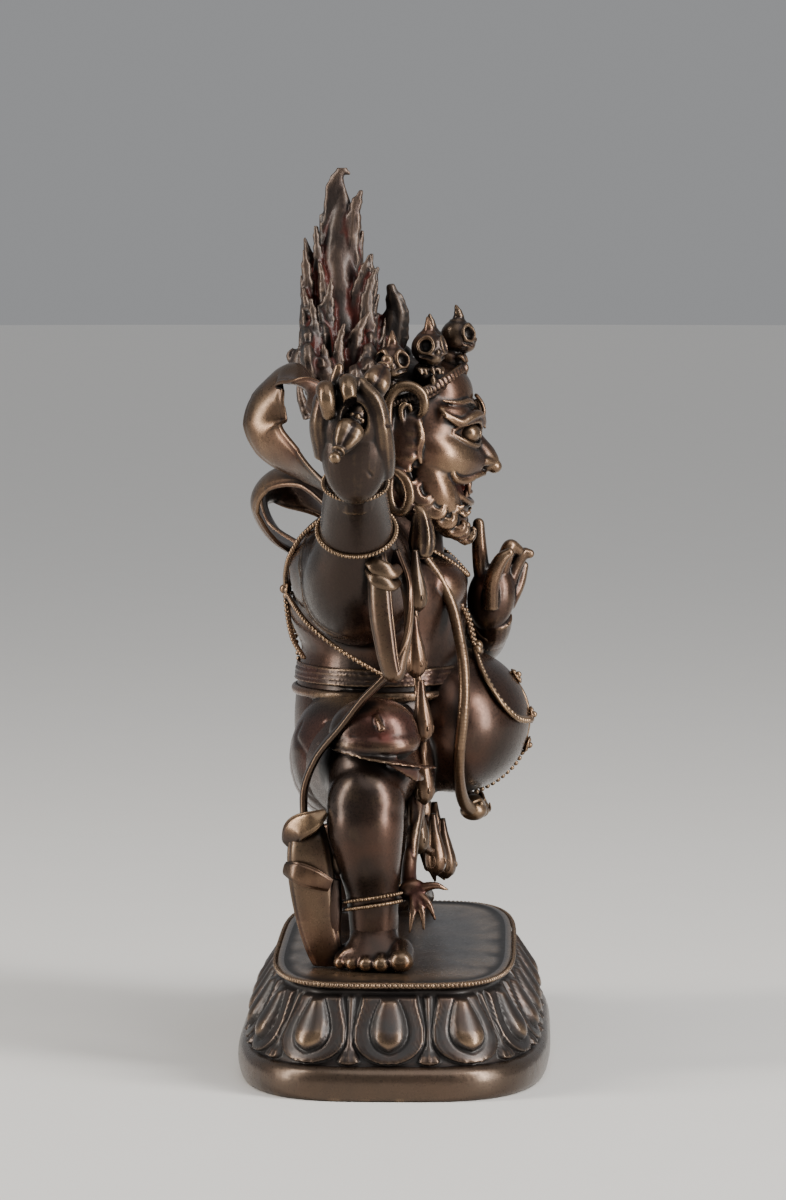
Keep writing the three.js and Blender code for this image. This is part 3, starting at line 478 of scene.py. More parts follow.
def stand_out(mesh, reach):
    """How far each vertex stands out from its surroundings, in millimetres"""
    places = read(mesh)
    ends = np.zeros(len(mesh.edges) * 2, np.int32)
    mesh.edges.foreach_get("vertices", ends)
    ends = ends.reshape(-1, 2)
    length = np.median(np.linalg.norm(places[ends[:, 0]] - places[ends[:, 1]], axis=1))
    rounds = int(np.clip(2 * (reach / length) ** 2, 2, 60))
    smooth = np.stack([even_out(places[:, axis], ends, len(places), rounds) for axis in range(3)], 1)
    return np.einsum("ij,ij->i", places - smooth, normals_of(mesh))


def store(mesh, name, values):
    layer = mesh.attributes.get(name) or mesh.attributes.new(name, "FLOAT", "POINT")
    layer.data.foreach_set("value", np.asarray(values, np.float32))


PIECES = []
WEAR_AND_SHADE_SCALES = ((0.5, 0.05), (1.6, 0.35))


def finish_piece(piece, node, material, rub_and_sheen=None, paint=None):
    """Marks wear on a piece, puts it into the part's frame and gives it its finish"""
    mesh = piece.data
    places = read(mesh)
    # Edges that stand out get wear; sunk places get painted shade
    wear = 0
    for reach, full in WEAR_AND_SHADE_SCALES:
        wear = wear + np.clip(stand_out(mesh, reach) / full, -1, 1) * 0.5
    store(mesh, "wear_and_hollow_shade", wear)
    # Polished metal, and on some pieces a painted highlight
    store(mesh, "rubbed_and_sheen", np.zeros(len(places)) if rub_and_sheen is None else np.clip(rub_and_sheen(places), 0, 1))
    store(mesh, "painted", np.zeros(len(places)) if paint is None else np.clip(paint(places), 0, 1))
    back = FIGURE_BACK if node == "figure" else 0
    write(mesh, (places + (0, back, 0)) * MM)
    mesh.shade_smooth()
    mesh.materials.clear()
    mesh.materials.append(material)
    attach(piece, "root")
    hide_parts(node)
    PIECES.append(piece)


def finish_figure(piece, material, rub_and_sheen=None, paint=None):
    """Finishes a piece of the figure's own casting"""
    finish_piece(piece, "figure", material, rub_and_sheen=rub_and_sheen, paint=paint)


def near(middle, reach):
    """A soft patch round a place"""
    return lambda places: np.exp(-((np.linalg.norm((places - middle) / reach, axis=1)) ** 2))


# Materials

def sockets_of(group, inputs, outputs):
    for way, listed in (("INPUT", inputs), ("OUTPUT", outputs)):
        for name, kind in listed:
            group.interface.new_socket(name, in_out=way, socket_type=f"NodeSocket{kind}")


def mix_colour(tree, share, first, second):
    """A node that mixes two colours, each a socket or a plain colour"""
    node = tree.nodes.new("ShaderNodeMix")
    node.data_type = "RGBA"
    for value, socket in ((share, node.inputs[0]), (first, node.inputs[6]), (second, node.inputs[7])):
        if isinstance(value, bpy.types.NodeSocket):
            tree.links.new(value, socket)
        else:
            socket.default_value = value
    return node.outputs[2]


def maths(tree, kind, first, second=0.0, clamp=False):
    node = tree.nodes.new("ShaderNodeMath")
    node.operation = kind
    node.use_clamp = clamp
    for value, socket in ((first, node.inputs[0]), (second, node.inputs[1])):
        if isinstance(value, bpy.types.NodeSocket):
            tree.links.new(value, socket)
        else:
            socket.default_value = value
    return node.outputs[0]


def spread(tree, value, low, high, start=0.0, end=1.0):
    """A node that maps a range onto another, and keeps inside it"""
    node = tree.nodes.new("ShaderNodeMapRange")
    tree.links.new(value, node.inputs["Value"])
    for name, number in (("From Min", low), ("From Max", high), ("To Min", start), ("To Max", end)):
        node.inputs[name].default_value = number
    return node.outputs["Result"]


def noise(tree, scale, detail=3.0, stretch=(1, 1, 1)):
    """Noise on the object's own coordinates. scale is in marks per metre."""
    place = tree.nodes.new("ShaderNodeTexCoord")
    mapping = tree.nodes.new("ShaderNodeMapping")
    mapping.inputs["Scale"].default_value = stretch
    texture = tree.nodes.new("ShaderNodeTexNoise")
    texture.inputs["Scale"].default_value = scale
    texture.inputs["Detail"].default_value = detail
    tree.links.new(place.outputs["Object"], mapping.inputs["Vector"])
    tree.links.new(mapping.outputs["Vector"], texture.inputs["Vector"])
    return texture.outputs["Fac"]


def aged_metal_group():
    """Patina, rubbed edges, grime and traces of paint, from the marks of wear on a mesh"""
    group = bpy.data.node_groups.new("Aged metal", "ShaderNodeTree")
    inputs = [
        ("Wear_and_hollow_shade", "Float"), ("Rubbed_and_sheen", "Float"), ("Painted", "Float"), ("Crowd_shade", "Float"),
        ("Patina", "Color"), ("Warm", "Color"), ("Brass", "Color"), ("Shade_grime_tint", "Color"), ("Paint", "Color"),
        ("Edge wear", "Float"), ("Grime", "Float"), ("Smoothness", "Float"),
    ]
    sockets_of(group, inputs, [("Colour", "Color"), ("Roughness", "Float"), ("Height", "Float")])
    start = group.nodes.new("NodeGroupInput").outputs
    end = group.nodes.new("NodeGroupOutput").inputs
    clouds = noise(group, 45, 3)
    patches = noise(group, 260, 5)
    specks = noise(group, 1700, 4)
    streaks = noise(group, 420, 3, (1, 1, 0.3))
    body = mix_colour(group, spread(group, clouds, 0.42, 0.62), start["Patina"], start["Warm"])
    body = mix_colour(group, spread(group, patches, 0.5, 0.8, 0, 0.35), body, start["Shade_grime_tint"])
    jitter = maths(group, "MULTIPLY", maths(group, "SUBTRACT", patches, 0.5), 0.7)
    lifted = maths(group, "ADD", start["Wear_and_hollow_shade"], jitter)
    edge = spread(group, lifted, 0.34, 1.0)
    edge = maths(group, "MULTIPLY", edge, start["Edge wear"], True)
    # Polished metal and painted highlights, both in the brass colour
    rubbed_and_sheen_mask = maths(group, "MULTIPLY", start["Rubbed_and_sheen"], spread(group, streaks, 0.3, 0.62, 0.45, 1), True)
    bright = maths(group, "MAXIMUM", edge, rubbed_and_sheen_mask)
    colour = mix_colour(group, bright, body, start["Brass"])
    # Painted shade and dark dust: darker in hollows and where forms crowd each other
    sunk = maths(group, "MULTIPLY", start["Wear_and_hollow_shade"], -1.0)
    shade_and_grime_share = maths(group, "ADD", spread(group, sunk, 0.08, 0.75), spread(group, start["Crowd_shade"], 0.25, 0.9))
    shade_and_grime_share = maths(group, "MULTIPLY", shade_and_grime_share, start["Grime"], True)
    colour = mix_colour(group, shade_and_grime_share, colour, start["Shade_grime_tint"])
    red = maths(group, "MULTIPLY", start["Painted"], spread(group, patches, 0.34, 0.56, 0.3, 1), True)
    colour = mix_colour(group, red, colour, start["Paint"])
    rough = maths(group, "ADD", start["Smoothness"], spread(group, specks, 0.3, 0.7, -0.05, 0.07))
    rough = maths(group, "ADD", rough, maths(group, "MULTIPLY", maths(group, "ADD", shade_and_grime_share, red), 0.22))
    rough = maths(group, "SUBTRACT", rough, maths(group, "MULTIPLY", bright, 0.04), True)
    height = maths(
        group, "ADD", maths(group, "MULTIPLY", specks, 0.4), maths(group, "MULTIPLY", patches, 0.6)
    )
    group.links.new(colour, end["Colour"])
    group.links.new(rough, end["Roughness"])
    group.links.new(height, end["Height"])
    return group


def metal(name, edge_wear, grime, smoothness, relief, **tints):
    """One finish of the casting"""
    group = bpy.data.node_groups.get("Aged metal") or aged_metal_group()
    material = bpy.data.materials.new(name)
    material.use_nodes = True
    tree = material.node_tree
    shader = tree.nodes["Principled BSDF"]
    aged = tree.nodes.new("ShaderNodeGroup")
    aged.node_tree = group
    for mark in ("wear_and_hollow_shade", "rubbed_and_sheen", "painted", "crowd_shade"):
        layer = tree.nodes.new("ShaderNodeAttribute")
        layer.attribute_name = mark
        tree.links.new(layer.outputs["Fac"], aged.inputs[mark.capitalize()])
    for tint in ("patina", "warm", "brass", "shade_grime_tint", "paint"):
        aged.inputs[tint.capitalize()].default_value = (*tints.get(tint, getattr(colours(), tint)), 1)
    for socket, value in (("Edge wear", edge_wear), ("Grime", grime), ("Smoothness", smoothness)):
        aged.inputs[socket].default_value = value
    bump = tree.nodes.new("ShaderNodeBump")
    bump.inputs["Strength"].default_value = relief
    bump.inputs["Distance"].default_value = 0.0002
    tree.links.new(aged.outputs["Colour"], shader.inputs["Base Color"])
    tree.links.new(aged.outputs["Roughness"], shader.inputs["Roughness"])
    tree.links.new(aged.outputs["Height"], bump.inputs["Height"])
    tree.links.new(bump.outputs["Normal"], shader.inputs["Normal"])
    shader.inputs["Metallic"].default_value = 0.85
    shader.inputs["Coat Weight"].default_value = 0.25
    shader.inputs["Coat Roughness"].default_value = 0.3
    return material


def finish(name, **values):
    return bpy.data.materials.get(name) or metal(name, **values)


def skin_metal():
    return finish("skin bronze", edge_wear=0.26, grime=1, smoothness=0.28, relief=0.12)


def carved_metal():
    return finish("carved bronze", edge_wear=0.3, grime=1, smoothness=0.33, relief=0.3)


def cloth_metal():
    return finish("cloth bronze", edge_wear=0.16, grime=0.9, smoothness=0.3, relief=0.15)


def rough_metal():
    return finish(
        "rough bronze", edge_wear=0.22, grime=0.8, smoothness=0.48, relief=1,
        patina=(0.02, 0.016, 0.0145), warm=(0.04, 0.026, 0.021), brass=(0.25, 0.17, 0.12),
    )


# The plinth

CORNER_POWER = 3.8
OUTLINE_INSET = 5.5
FOOT_TOP = 7.4
PETAL_FOOT = 7.9
PETAL_TOP = 21.4
LEAF_HALF = 8.25
BOSS_MIDDLE = 14.6
LEAF_PITCH = 17.8
BOSS_HALF = 3.75
RIM_OUT = -2.8
RIM_MIDDLE = 24
LOTUS_ROWS = 56
PETAL_COLUMNS = 48
PLATE_SINK = 0.12
PLATE_RINGS = (0.08, 0.2, 0.34, 0.48, 0.62, 0.76, 0.88, 0.97)
RIM_SHARE = 0.93
RIM_STEP = 2.02


def plinth_outline(count):
    """Places evenly round the middle of the petals, from the middle of the -X end, and the way out"""
    half_length = PLINTH_LENGTH / 2 - OUTLINE_INSET
    half_depth = PLINTH_DEPTH / 2 - OUTLINE_INSET
    angles = np.linspace(0, FULL_TURN, 4001)

    def bend(value):
        return np.sign(value) * np.abs(value) ** (2 / CORNER_POWER)

    fine = np.stack([-half_length * bend(np.cos(angles)), -half_depth * bend(np.sin(angles))], 1)
    walked = np.concatenate([[0], np.cumsum(np.linalg.norm(np.diff(fine, axis=0), axis=1))])
    total = walked[-1]

    def walk(distance):
        distance = distance % total
        return np.stack([np.interp(distance, walked, fine[:, axis]) for axis in range(2)], 1)

    goals = np.arange(count) / count * total
    spots = walk(goals)
    along = unit(walk(goals + 1) - walk(goals - 1))
    out = np.stack([along[:, 1], -along[:, 0]], 1)
    return spots, out, total


def petal_relief(across, z, pitch):
    """How far the lotus stands out: across is the distance from a petal's middle, both in mm"""
    side = np.abs(across)
    half = LEAF_HALF * pitch / LEAF_PITCH * (1 - 0.2 * soft_step(14, PETAL_TOP, z))
    bowl = PETAL_FOOT + 6
    drop = np.clip((bowl - z) / (bowl - PETAL_FOOT), 0, 1)
    edge = half * np.sqrt(np.clip(1 - drop ** 2.2, 0, 1))
    inset = np.minimum(edge - side, (z - PETAL_FOOT) * 1.2 + 0.4 * np.maximum(edge - side, 0))
    leaf = 1.35 * soft_step(-0.1, 0.75, inset)
    leaf += 0.08 * np.exp(-(((inset - 0.55) / 0.22) ** 2)) - 0.2 * np.exp(-(((inset - 1.0) / 0.17) ** 2))
    leaf -= 0.14 * np.exp(-(((inset - 1.6) / 0.16) ** 2))
    below = np.maximum(BOSS_MIDDLE - z, 0) / (3.9 + 0.2 * np.exp(-((side / 0.8) ** 2)))
    above = np.maximum(z - BOSS_MIDDLE, 0) / 6.2
    width = BOSS_HALF * (1 - 0.5 * np.clip(above, 0, 1.2) ** 1.7)
    ring = np.sqrt((side / width) ** 2 + below ** 2)
    dome = 2.3 * np.clip(1 - ring ** 2.2, 0, 1) ** 0.6 * (1 - 0.45 * above)
    dome -= 0.2 * np.exp(-(((ring - 0.87) / 0.035) ** 2)) * soft_step(18, 15, z)
    dome -= 0.45 * np.exp(-(((ring - 1.1) / 0.07) ** 2)) * soft_step(0.8, 1.6, inset)
    leaf = leaf + dome * soft_step(PETAL_TOP + 0.1, PETAL_TOP - 0.8, z)
    space = pitch / 2 - side
    sepal_half = np.interp(z, (7.3, 8.4, 9.2, 11.5, 14, PETAL_TOP), (0.2, 2.3, 2.1, 1.0, 0.7, 1.0))
    sepal_high = np.interp(z, (7.3, 8.4, 9.4, 10.4, 14, PETAL_TOP), (0.8, 1.45, 1.4, 0.9, 0.7, 0.5))
    sepal = sepal_high * soft_step(0, 0.5, sepal_half - space) + 0.25 * np.exp(-((space / 0.3) ** 2))
    sepal *= soft_step(FOOT_TOP, 8.1, z)
    return np.maximum(leaf, sepal) * soft_step(PETAL_TOP + 0.5, PETAL_TOP - 0.3, z)


def plinth_rows():
    """The plinth's profile, from under its foot to the middle of its plate: height, how far out of
    the outline, how much of the lotus shows, and how much of the way in to the middle"""
    rows = [(0, 2.5, 0, 0), (0, 4.2, 0, 0)]
    foot = [
        (0.25, 4.75), (1.2, 5.15), (2.4, 5.4), (3.8, 5.5), (5, 5.4), (5.9, 5.1), (6.5, 4.7), (7, 4.1),
        (7.3, 3.5),
    ]
    rows += [(z, out, 0, 0) for z, out in foot]
    for step in range(LOTUS_ROWS + 1):
        z = FOOT_TOP + (PETAL_TOP + 0.6 - FOOT_TOP) * step / LOTUS_ROWS
        rows.append((z, None, 1, 0))
    band = [
        (22.3, -4.45), (22.7, -4.35), (23, -4.0), (23.2, -3.6), (23.4, -3.4), (24.3, -3.4),
        (PLINTH_HEIGHT, -3.7),
    ]
    rows += [(z, out, 0, 0) for z, out in band]
    rows += [(PLINTH_HEIGHT, -4.6, 0, 0), (PLINTH_HEIGHT - PLATE_SINK, -4.9, 0, 0)]
    rows += [(PLINTH_HEIGHT - PLATE_SINK, -5, 0, share) for share in PLATE_RINGS]
    return rows


def dress_plinth():
    petals = sizes().petals
    columns = petals * PETAL_COLUMNS
    spots, out, total = plinth_outline(columns)
    pitch = total / petals
    across = ((np.arange(columns) / PETAL_COLUMNS + 0.5) % 1 - 0.5) * pitch
    rows = plinth_rows()
    form = plain_tube(columns, len(rows) - 1, False)
    row = np.rint(form[1][:, 2]).astype(int)
    turn = np.arctan2(form[1][:, 1], form[1][:, 0]) % FULL_TURN
    column = np.rint(turn / FULL_TURN * columns).astype(int) % columns
    z = np.array([entry[0] for entry in rows], float)[row]
    plain = np.array([entry[1] if entry[1] is not None else 0 for entry in rows], float)[row]
    lotus = np.array([entry[2] for entry in rows], float)[row]
    inward = np.array([entry[3] for entry in rows], float)[row]
    slope = np.interp(z, (FOOT_TOP, 15, PETAL_TOP), (3.0, -1.2, -4.4))
    relief = petal_relief(across[column], z, pitch)
    stand = np.where(lotus > 0, slope + relief, plain)
    place = spots[column] + out[column] * stand[:, None]
    place = place * (1 - inward)[:, None]
    places = np.column_stack([place, z])
    foot = (z < FOOT_TOP) & (z > 0.1)
    places[:, :2] += out[column] * (0.07 * np.minimum(ripple(places, 3.0, seed=3), 0) * foot)[:, None]
    plate = inward > 0
    places[:, 2] += 0.05 * ripple(places, 6, seed=4) * plate - 0.05 * plate
    forms = [bent(form, places)]
    radius = sizes().rim_bead / MM
    beads = int(total * RIM_SHARE / (radius * RIM_STEP))
    spots, out, _ = plinth_outline(beads)
    for spot, way in zip(spots, out):
        x, y = spot + way * RIM_OUT
        forms.append(ball((x, y, RIM_MIDDLE), radius, around=8, down=5))
    piece = gather("lotus_plinth", forms)
    material = finish(
        "plinth bronze", edge_wear=0.1, grime=1, smoothness=0.3, relief=0.3,
        patina=(0.03, 0.021, 0.018), warm=(0.062, 0.037, 0.027), paint=(0.03, 0.027, 0.026),
    )
    standing = stand_out(piece.data, 2.2)

    # The bosses' band is polished metal and a painted highlight; the foot's bottom edge and the rim are
    # polished by wear
    def rub_and_sheen(places):
        z = places[:, 2]
        height = soft_step(BOSS_MIDDLE - 4, BOSS_MIDDLE - 2, z) * soft_step(20, 15, z)
        edge = soft_step(1.5, 0.4, z) * soft_step(0.1, 0.7, ripple(places, 2.2, seed=5))
        rim = soft_step(23.2, 23.5, z) * soft_step(0.02, 0.1, standing)
        return 0.5 * height * soft_step(0.2, 0.6, standing) + 0.4 * edge + 0.4 * rim

    def grey(places):
        z = places[:, 2]
        leaves = soft_step(FOOT_TOP + 0.4, FOOT_TOP + 1, z) * soft_step(PETAL_TOP + 1, PETAL_TOP - 1, z)
        return leaves * soft_step(0.4, 0.14, standing)

    finish_piece(piece, "lotus_base", material, rub_and_sheen=rub_and_sheen, paint=grey)


# The body

def body_forms():
    torso = [
        (0, 6, 55), (0, 4.5, 64), (0, 4, 74), (0, 2.6, 84), (0, 2.2, 93),
        (0, 3.6, 104), (0, 5, 113), (0, 2, 121), (0, 0, 128),
    ]
    shoulders = [(18, 7.6, 107), (0, 8.6, 109), (-14, 8.6, 110), (-24, 8, 112)]
    right_arm = [
        (-8, 7, 107), (-22, 7, 107), (-31, 7.6, 111), (-39, 7, 120), (-46, 7, 127.5), (-54, 6.6, 134)
    ]
    left_upper = [(8, 6, 107), (24, 4, 108), (35, 0, 100), (39, -4, 93)]
    left_lower = [(39, -2, 94), (34, -10, 90.4), (22, -18.6, 91), (12, -22.4, 96)]
    right_thigh = [(-5, 6, 66), (-20, 5, 68), (-33, 4.6, 66), (-38.6, 5, 61)]
    right_shin = [(-39.4, 5.1, 61), (-40, 5, 56), (-39.6, 4.4, 49), (-38, 3.6, 41), (-37, 3.2, 30)]
    left_thigh = [(5, 6, 66), (17, 5, 61), (27, 3.4, 52), (34, 2.6, 45)]
    left_shin = [(32, 2.8, 48), (37.6, 2.8, 41), (42, 2.8, 35), (44, 2.8, 29)]
    limb = {"sides": 32, "steps": 40}
    return [
        tube(torso, [14, 22.5, 24.5, 22, 21.5, 24, 21, 12.5, 10.5],
             [11, 16.5, 18.5, 19, 18.6, 20.3, 15.4, 11.5, 10.5], sides=48, steps=60),
        tube(shoulders, [9.6, 13, 14.2, 12.3], up=(0, 1, 0), sides=40, steps=30),
        ball((-24, 8, 112), 12.3, around=40, down=26),
        ball(BELLY_MIDDLE, BELLY_RADII, around=48, down=32),
        ball((-8, -9, 106), (9, 8, 6.5), around=32, down=20),
        ball((8, -9, 106), (9, 8, 6.5), around=32, down=20),
        tube(right_arm, [12, 13, 11.2, 8.4, 7.2, 6], up=(0, 1, 0), **limb),
        tube(left_upper, [11, 10, 7.8, 7], up=(0, 1, 0), **limb),
        tube(left_lower, [6.6, 6.8, 6, 4.6], up=(0, 0, 1), **limb),
        tube(right_thigh, [16, 14.6, 10.2, 8], up=(0, 1, 0), **limb),
        ball((-39.4, 5, 60.4), (8.6, 8.7, 9.4), around=32, down=24),
        tube(right_shin, [8.2, 8.5, 7.4, 5.9, 5.2], **limb),
        tube(left_thigh, [16, 14, 10.4, 8.4], up=(0, 1, 0), **limb),
        tube(left_shin, [8.4, 8.2, 6.3, 5.2], **limb),
    ]


def dress_body():
    piece = cast("body", body_forms(), grain=0.62, soften=6)
    flank = [(-30, -2.4, 95), (-29.4, 2, 91), (-27.6, 8, 88.4), (-24, 14, 89.6), (-19, 20, 93)]
    arm_root = [
        (-24, 16, 119.6), (-26, 19, 115), (-27, 19.6, 110), (-28, 18.9, 104.5), (-28, 15.9, 99.5),
        (-30, 9.7, 95.2),
    ]
    breasts = [
        (-17, -10, 106), (-13, -14.6, 101.4), (-7, -16.4, 100), (0, -15.6, 101.6), (7, -16.4, 100),
        (13, -14.6, 101.4),
    ]
    navel = near((0, -30.6, 71.6), 1.3)

    def depth(places):
        lines = groove(places, flank, 0.7, 0.45) + groove(places, breasts, 0.8, 0.4)
        gap = near_path(places, arm_root)
        lines += 0.5 * np.exp(-((gap / 0.5) ** 2)) - 0.3 * np.exp(-(((gap - 1.1) / 0.4) ** 2))
        return lines + 1.2 * navel(places)

    carve(piece, depth)
    finish_figure(piece, skin_metal(), rub_and_sheen=lambda places: 0.3 * near((0, -29, 80), 6)(places))


# Hands and feet

def finger(path, radii):
    tip = curve(path, np.array([1.0]))[0]
    return [
        tube(path, radii, sides=12, steps=24, up=(1, 0, 0.1)),
        ball(tip, radii[-1] * 1.02, around=12, down=8),
    ]


def raised_hand_forms():
    forms = [
        ball((-58, 6.6, 139.4), (6, 7.4, 12), (0, -8, 0), around=28, down=20),
        ball((-59.4, 6.8, 145.6), (5.6, 7.6, 8.2), around=28, down=20),
        tube([(-49, 6.9, 129.4), (-54, 6.6, 134), (-56.6, 6.4, 138)], [6.3, 6, 5.6], up=(0, 1, 0), sides=20),
        ball((-60.4, 13, 149), (3.4, 2.8, 3.6)),
    ]
    forms += finger(
        [(-55, 0.8, 134), (-58.6, 0.8, 138.4), (-61.4, 1.2, 144.2), (-62, 2.4, 149.6), (-61.4, 5.4, 153.4)],
        [2.6, 2.9, 2.6, 2.3, 1.8],
    )
    forms += finger([(-57, 13, 138), (-60.6, 13.8, 145), (-62, 13, 150)], [2.5, 2.6, 2.2])
    forms += finger(
        [(-59, 13, 150), (-63.6, 12.8, 152.6), (-66, 12.4, 150.6), (-65.2, 12, 147.4)], [1.9, 2.1, 1.9, 1.5]
    )
    forms += finger(
        [(-59, 8.4, 151.6), (-62.6, 8, 154), (-65.4, 7.8, 152.4), (-65.8, 7.4, 149.8)], [2, 2.1, 1.9, 1.5]
    )
    forms += finger([(-58, 10.4, 149), (-60, 10.6, 154), (-60, 10, 157)], [2, 1.6, 1.1])
    return forms


def pointing_hand_forms():
    fingers = [
        ([(9, -20.6, 104), (8.2, -19.8, 110), (8, -19.4, 115), (8, -19.3, 119)], [2, 1.9, 1.7, 1.4]),
        ([(9, -23.6, 105), (8, -25.6, 112), (8.2, -26.6, 114), (9.4, -28.4, 113)], [1.9, 1.8, 1.6, 1.2]),
        ([(10, -25.4, 103), (11, -27.6, 109), (11, -29.6, 112), (11, -31, 112)], [1.8, 1.7, 1.5, 1.1]),
        ([(10.6, -26, 100), (12.6, -28.4, 105), (13.4, -29.6, 109)], [1.7, 1.6, 1.2]),
        ([(5.6, -22, 100), (3.2, -22.6, 107), (3.2, -24.6, 111.4), (3.4, -26.4, 112.8)], [2, 1.8, 1.6, 1.1]),
    ]
    forms = [
        ball((9.4, -22.2, 102.2), (4.6, 5.5, 7.8), (8, 0, 0), around=24, down=18),
        tube([(20, -19.4, 91.6), (14, -22, 94.6), (11, -22.8, 98)], [5, 4.6, 4.4], up=(0, 0, 1), sides=20),
    ]
    for path, radii in fingers:
        forms += finger(path, radii)
    return forms


def foot_forms(ankle, degrees, hand):
    """A foot that points away from the ankle, with its big toe on the given hand"""
    angle = math.radians(degrees)
    ahead_way = np.array([math.cos(angle), math.sin(angle)])
    side_way = np.array([-ahead_way[1], ahead_way[0]]) * hand

    def place(ahead, aside, z):
        return (*(np.array(ankle) + ahead_way * ahead + side_way * aside), z)

    low = SEAT + 2.4
    sole = [place(-6.4, 0, low + 1), place(0, 0, low + 1.6), place(7, 0, low)]
    forms = [
        tube(sole, [4, 5.8, 7.6], [4, 5, 3.2], up=(0, 0, 1), sides=24, steps=24),
        tube([place(-0.6, 0, 36), place(0, 0, 31), place(1.6, 0, 27)], [5.4, 5.4, 5.8], sides=24, steps=16),
        tube(
            [place(-1, 0, 34), place(4, 0, 30), place(8.4, 0, 26)], [4.6, 5.6, 6.8], [3.4, 3, 2.2],
            up=(0, 0, 1), sides=24, steps=16,
        ),
    ]
    for aside, size in ((-6.2, 3), (-1.9, 2.15), (1.4, 2), (4.4, 1.9), (7.1, 1.75)):
        ahead = 9.6 - 0.035 * (aside + 3) ** 2
        knuckle = place(ahead - size * 1.6, aside * 0.97, SEAT + size * 1.25)
        tip = place(ahead + size * 0.35, aside, SEAT + size * 0.8)
        forms.append(tube(
            [place(2, aside * 0.8, 29), knuckle, tip], [size * 0.7, size * 0.95, size * 0.9], sides=14,
            steps=16,
        ))
        forms.append(ball(tip, (size * 0.95, size * 0.95, size * 0.85), (0, 0, degrees)))
    return forms


def rest_on_plate(piece):
    """Flattens whatever would reach into the plinth's plate"""
    places = read(piece.data)
    places[:, 2] = np.maximum(places[:, 2], SEAT)
    write(piece.data, places)


def anklet_forms(middle, axis, radius):
    axis = unit(np.array(axis, float))
    bead = sizes().ring_bead / MM * 1.1
    forms = []
    for shift, grow in ((1, 0.1), (-0.7, -0.1)):
        forms += bead_ring(np.array(middle) + axis * shift, radius + grow, axis, bead)
        forms.append(hoop(np.array(middle) + axis * shift, (radius - 0.25, radius - 0.25), 0.42, axis))
    return forms


def bead_ring(middle, radius, axis, bead):
    turn = facing(axis)
    count = int(FULL_TURN * radius / (bead * 1.9))
    forms = []
    for step in range(count):
        angle = step / count * FULL_TURN
        spot = turn @ (radius * math.cos(angle), radius * math.sin(angle), 0) + middle
        forms.append(ball(spot, bead, around=8, down=5))
    return forms


def dress_hands_and_feet():
    raised = cast("raised_hand", raised_hand_forms(), grain=0.32, soften=3)
    hollow(raised, (-67, 6.6, 146.4), (5, 3.4, 4.6), (1, 0, 0))
    creases = [
        [(-54, -1.5, 137.4), (-60, -3.6, 138.2), (-63, 0, 138.8)],
        [(-58, -3.4, 144.4), (-62, -2.4, 144.6), (-63.4, 0, 144.8)],
        [(-62, 3, 134), (-65.4, 6, 138), (-66, 10, 141)],
    ]
    carve(raised, lambda places: sum(groove(places, path, 0.35, 0.22) for path in creases))
    finish_figure(raised, skin_metal(), rub_and_sheen=lambda places: 0.4 * near((-64, 9, 153), 3)(places))
    pointing = cast("pointing_hand", pointing_hand_forms(), grain=0.3, soften=3)
    finish_figure(pointing, skin_metal(), rub_and_sheen=lambda places: 0.35 * near((8, -28, 114), 4)(places))
    both_feet = foot_forms((-37, 3.2), 180, -1) + foot_forms((44.4, 2.8), -14, 1)
    feet = cast("feet", both_feet, grain=0.42, soften=3)
    rest_on_plate(feet)
    finish_figure(feet, skin_metal())


# Rings and bead strings

BEAD_SPACING = 1.02


def on_belly(z, proud):
    """A place on the belly's middle line, that far out of the skin"""
    height = (z - BELLY_MIDDLE[2]) / BELLY_RADII[2]
    reach = math.sqrt(max(1 - height * height, 0.02))
    return 0, BELLY_MIDDLE[1] - (BELLY_RADII[1] * reach + proud), z


def string_of_beads(path, bead):
    """Beads side by side along a curve"""
    fine = curve(path, np.linspace(0, 1, 400))
    walked = np.concatenate([[0], np.cumsum(np.linalg.norm(np.diff(fine, axis=0), axis=1))])
    count = max(int(walked[-1] / (2 * bead * BEAD_SPACING)), 2)
    goals = (np.arange(count) + 0.5) / count * walked[-1]
    forms = []
    for goal in goals:
        spot = [np.interp(goal, walked, fine[:, axis]) for axis in range(3)]
        forms.append(ball(spot, bead, around=8, down=6))
    return forms


def rosette(middle, axis, radius, petals=8):
    """A small flower: a boss inside a ring of round petals"""
    turn = facing(axis)
    forms = [ball(middle + turn[:, 2] * radius * 0.3, radius * 0.42, around=12, down=8)]
    for step in range(petals):
        angle = step / petals * FULL_TURN
        spot = turn @ (radius * 0.68 * math.cos(angle), radius * 0.68 * math.sin(angle), 0) + middle
        forms.append(ball(spot, radius * 0.33, around=8, down=6))
    forms.append(hoop(middle, (radius * 0.98, radius * 0.98), radius * 0.14, axis, steps=20, sides=6))
    return forms


def symmetric(side, middle):
    return [*side, middle, *reversed(mirror_path(side))]


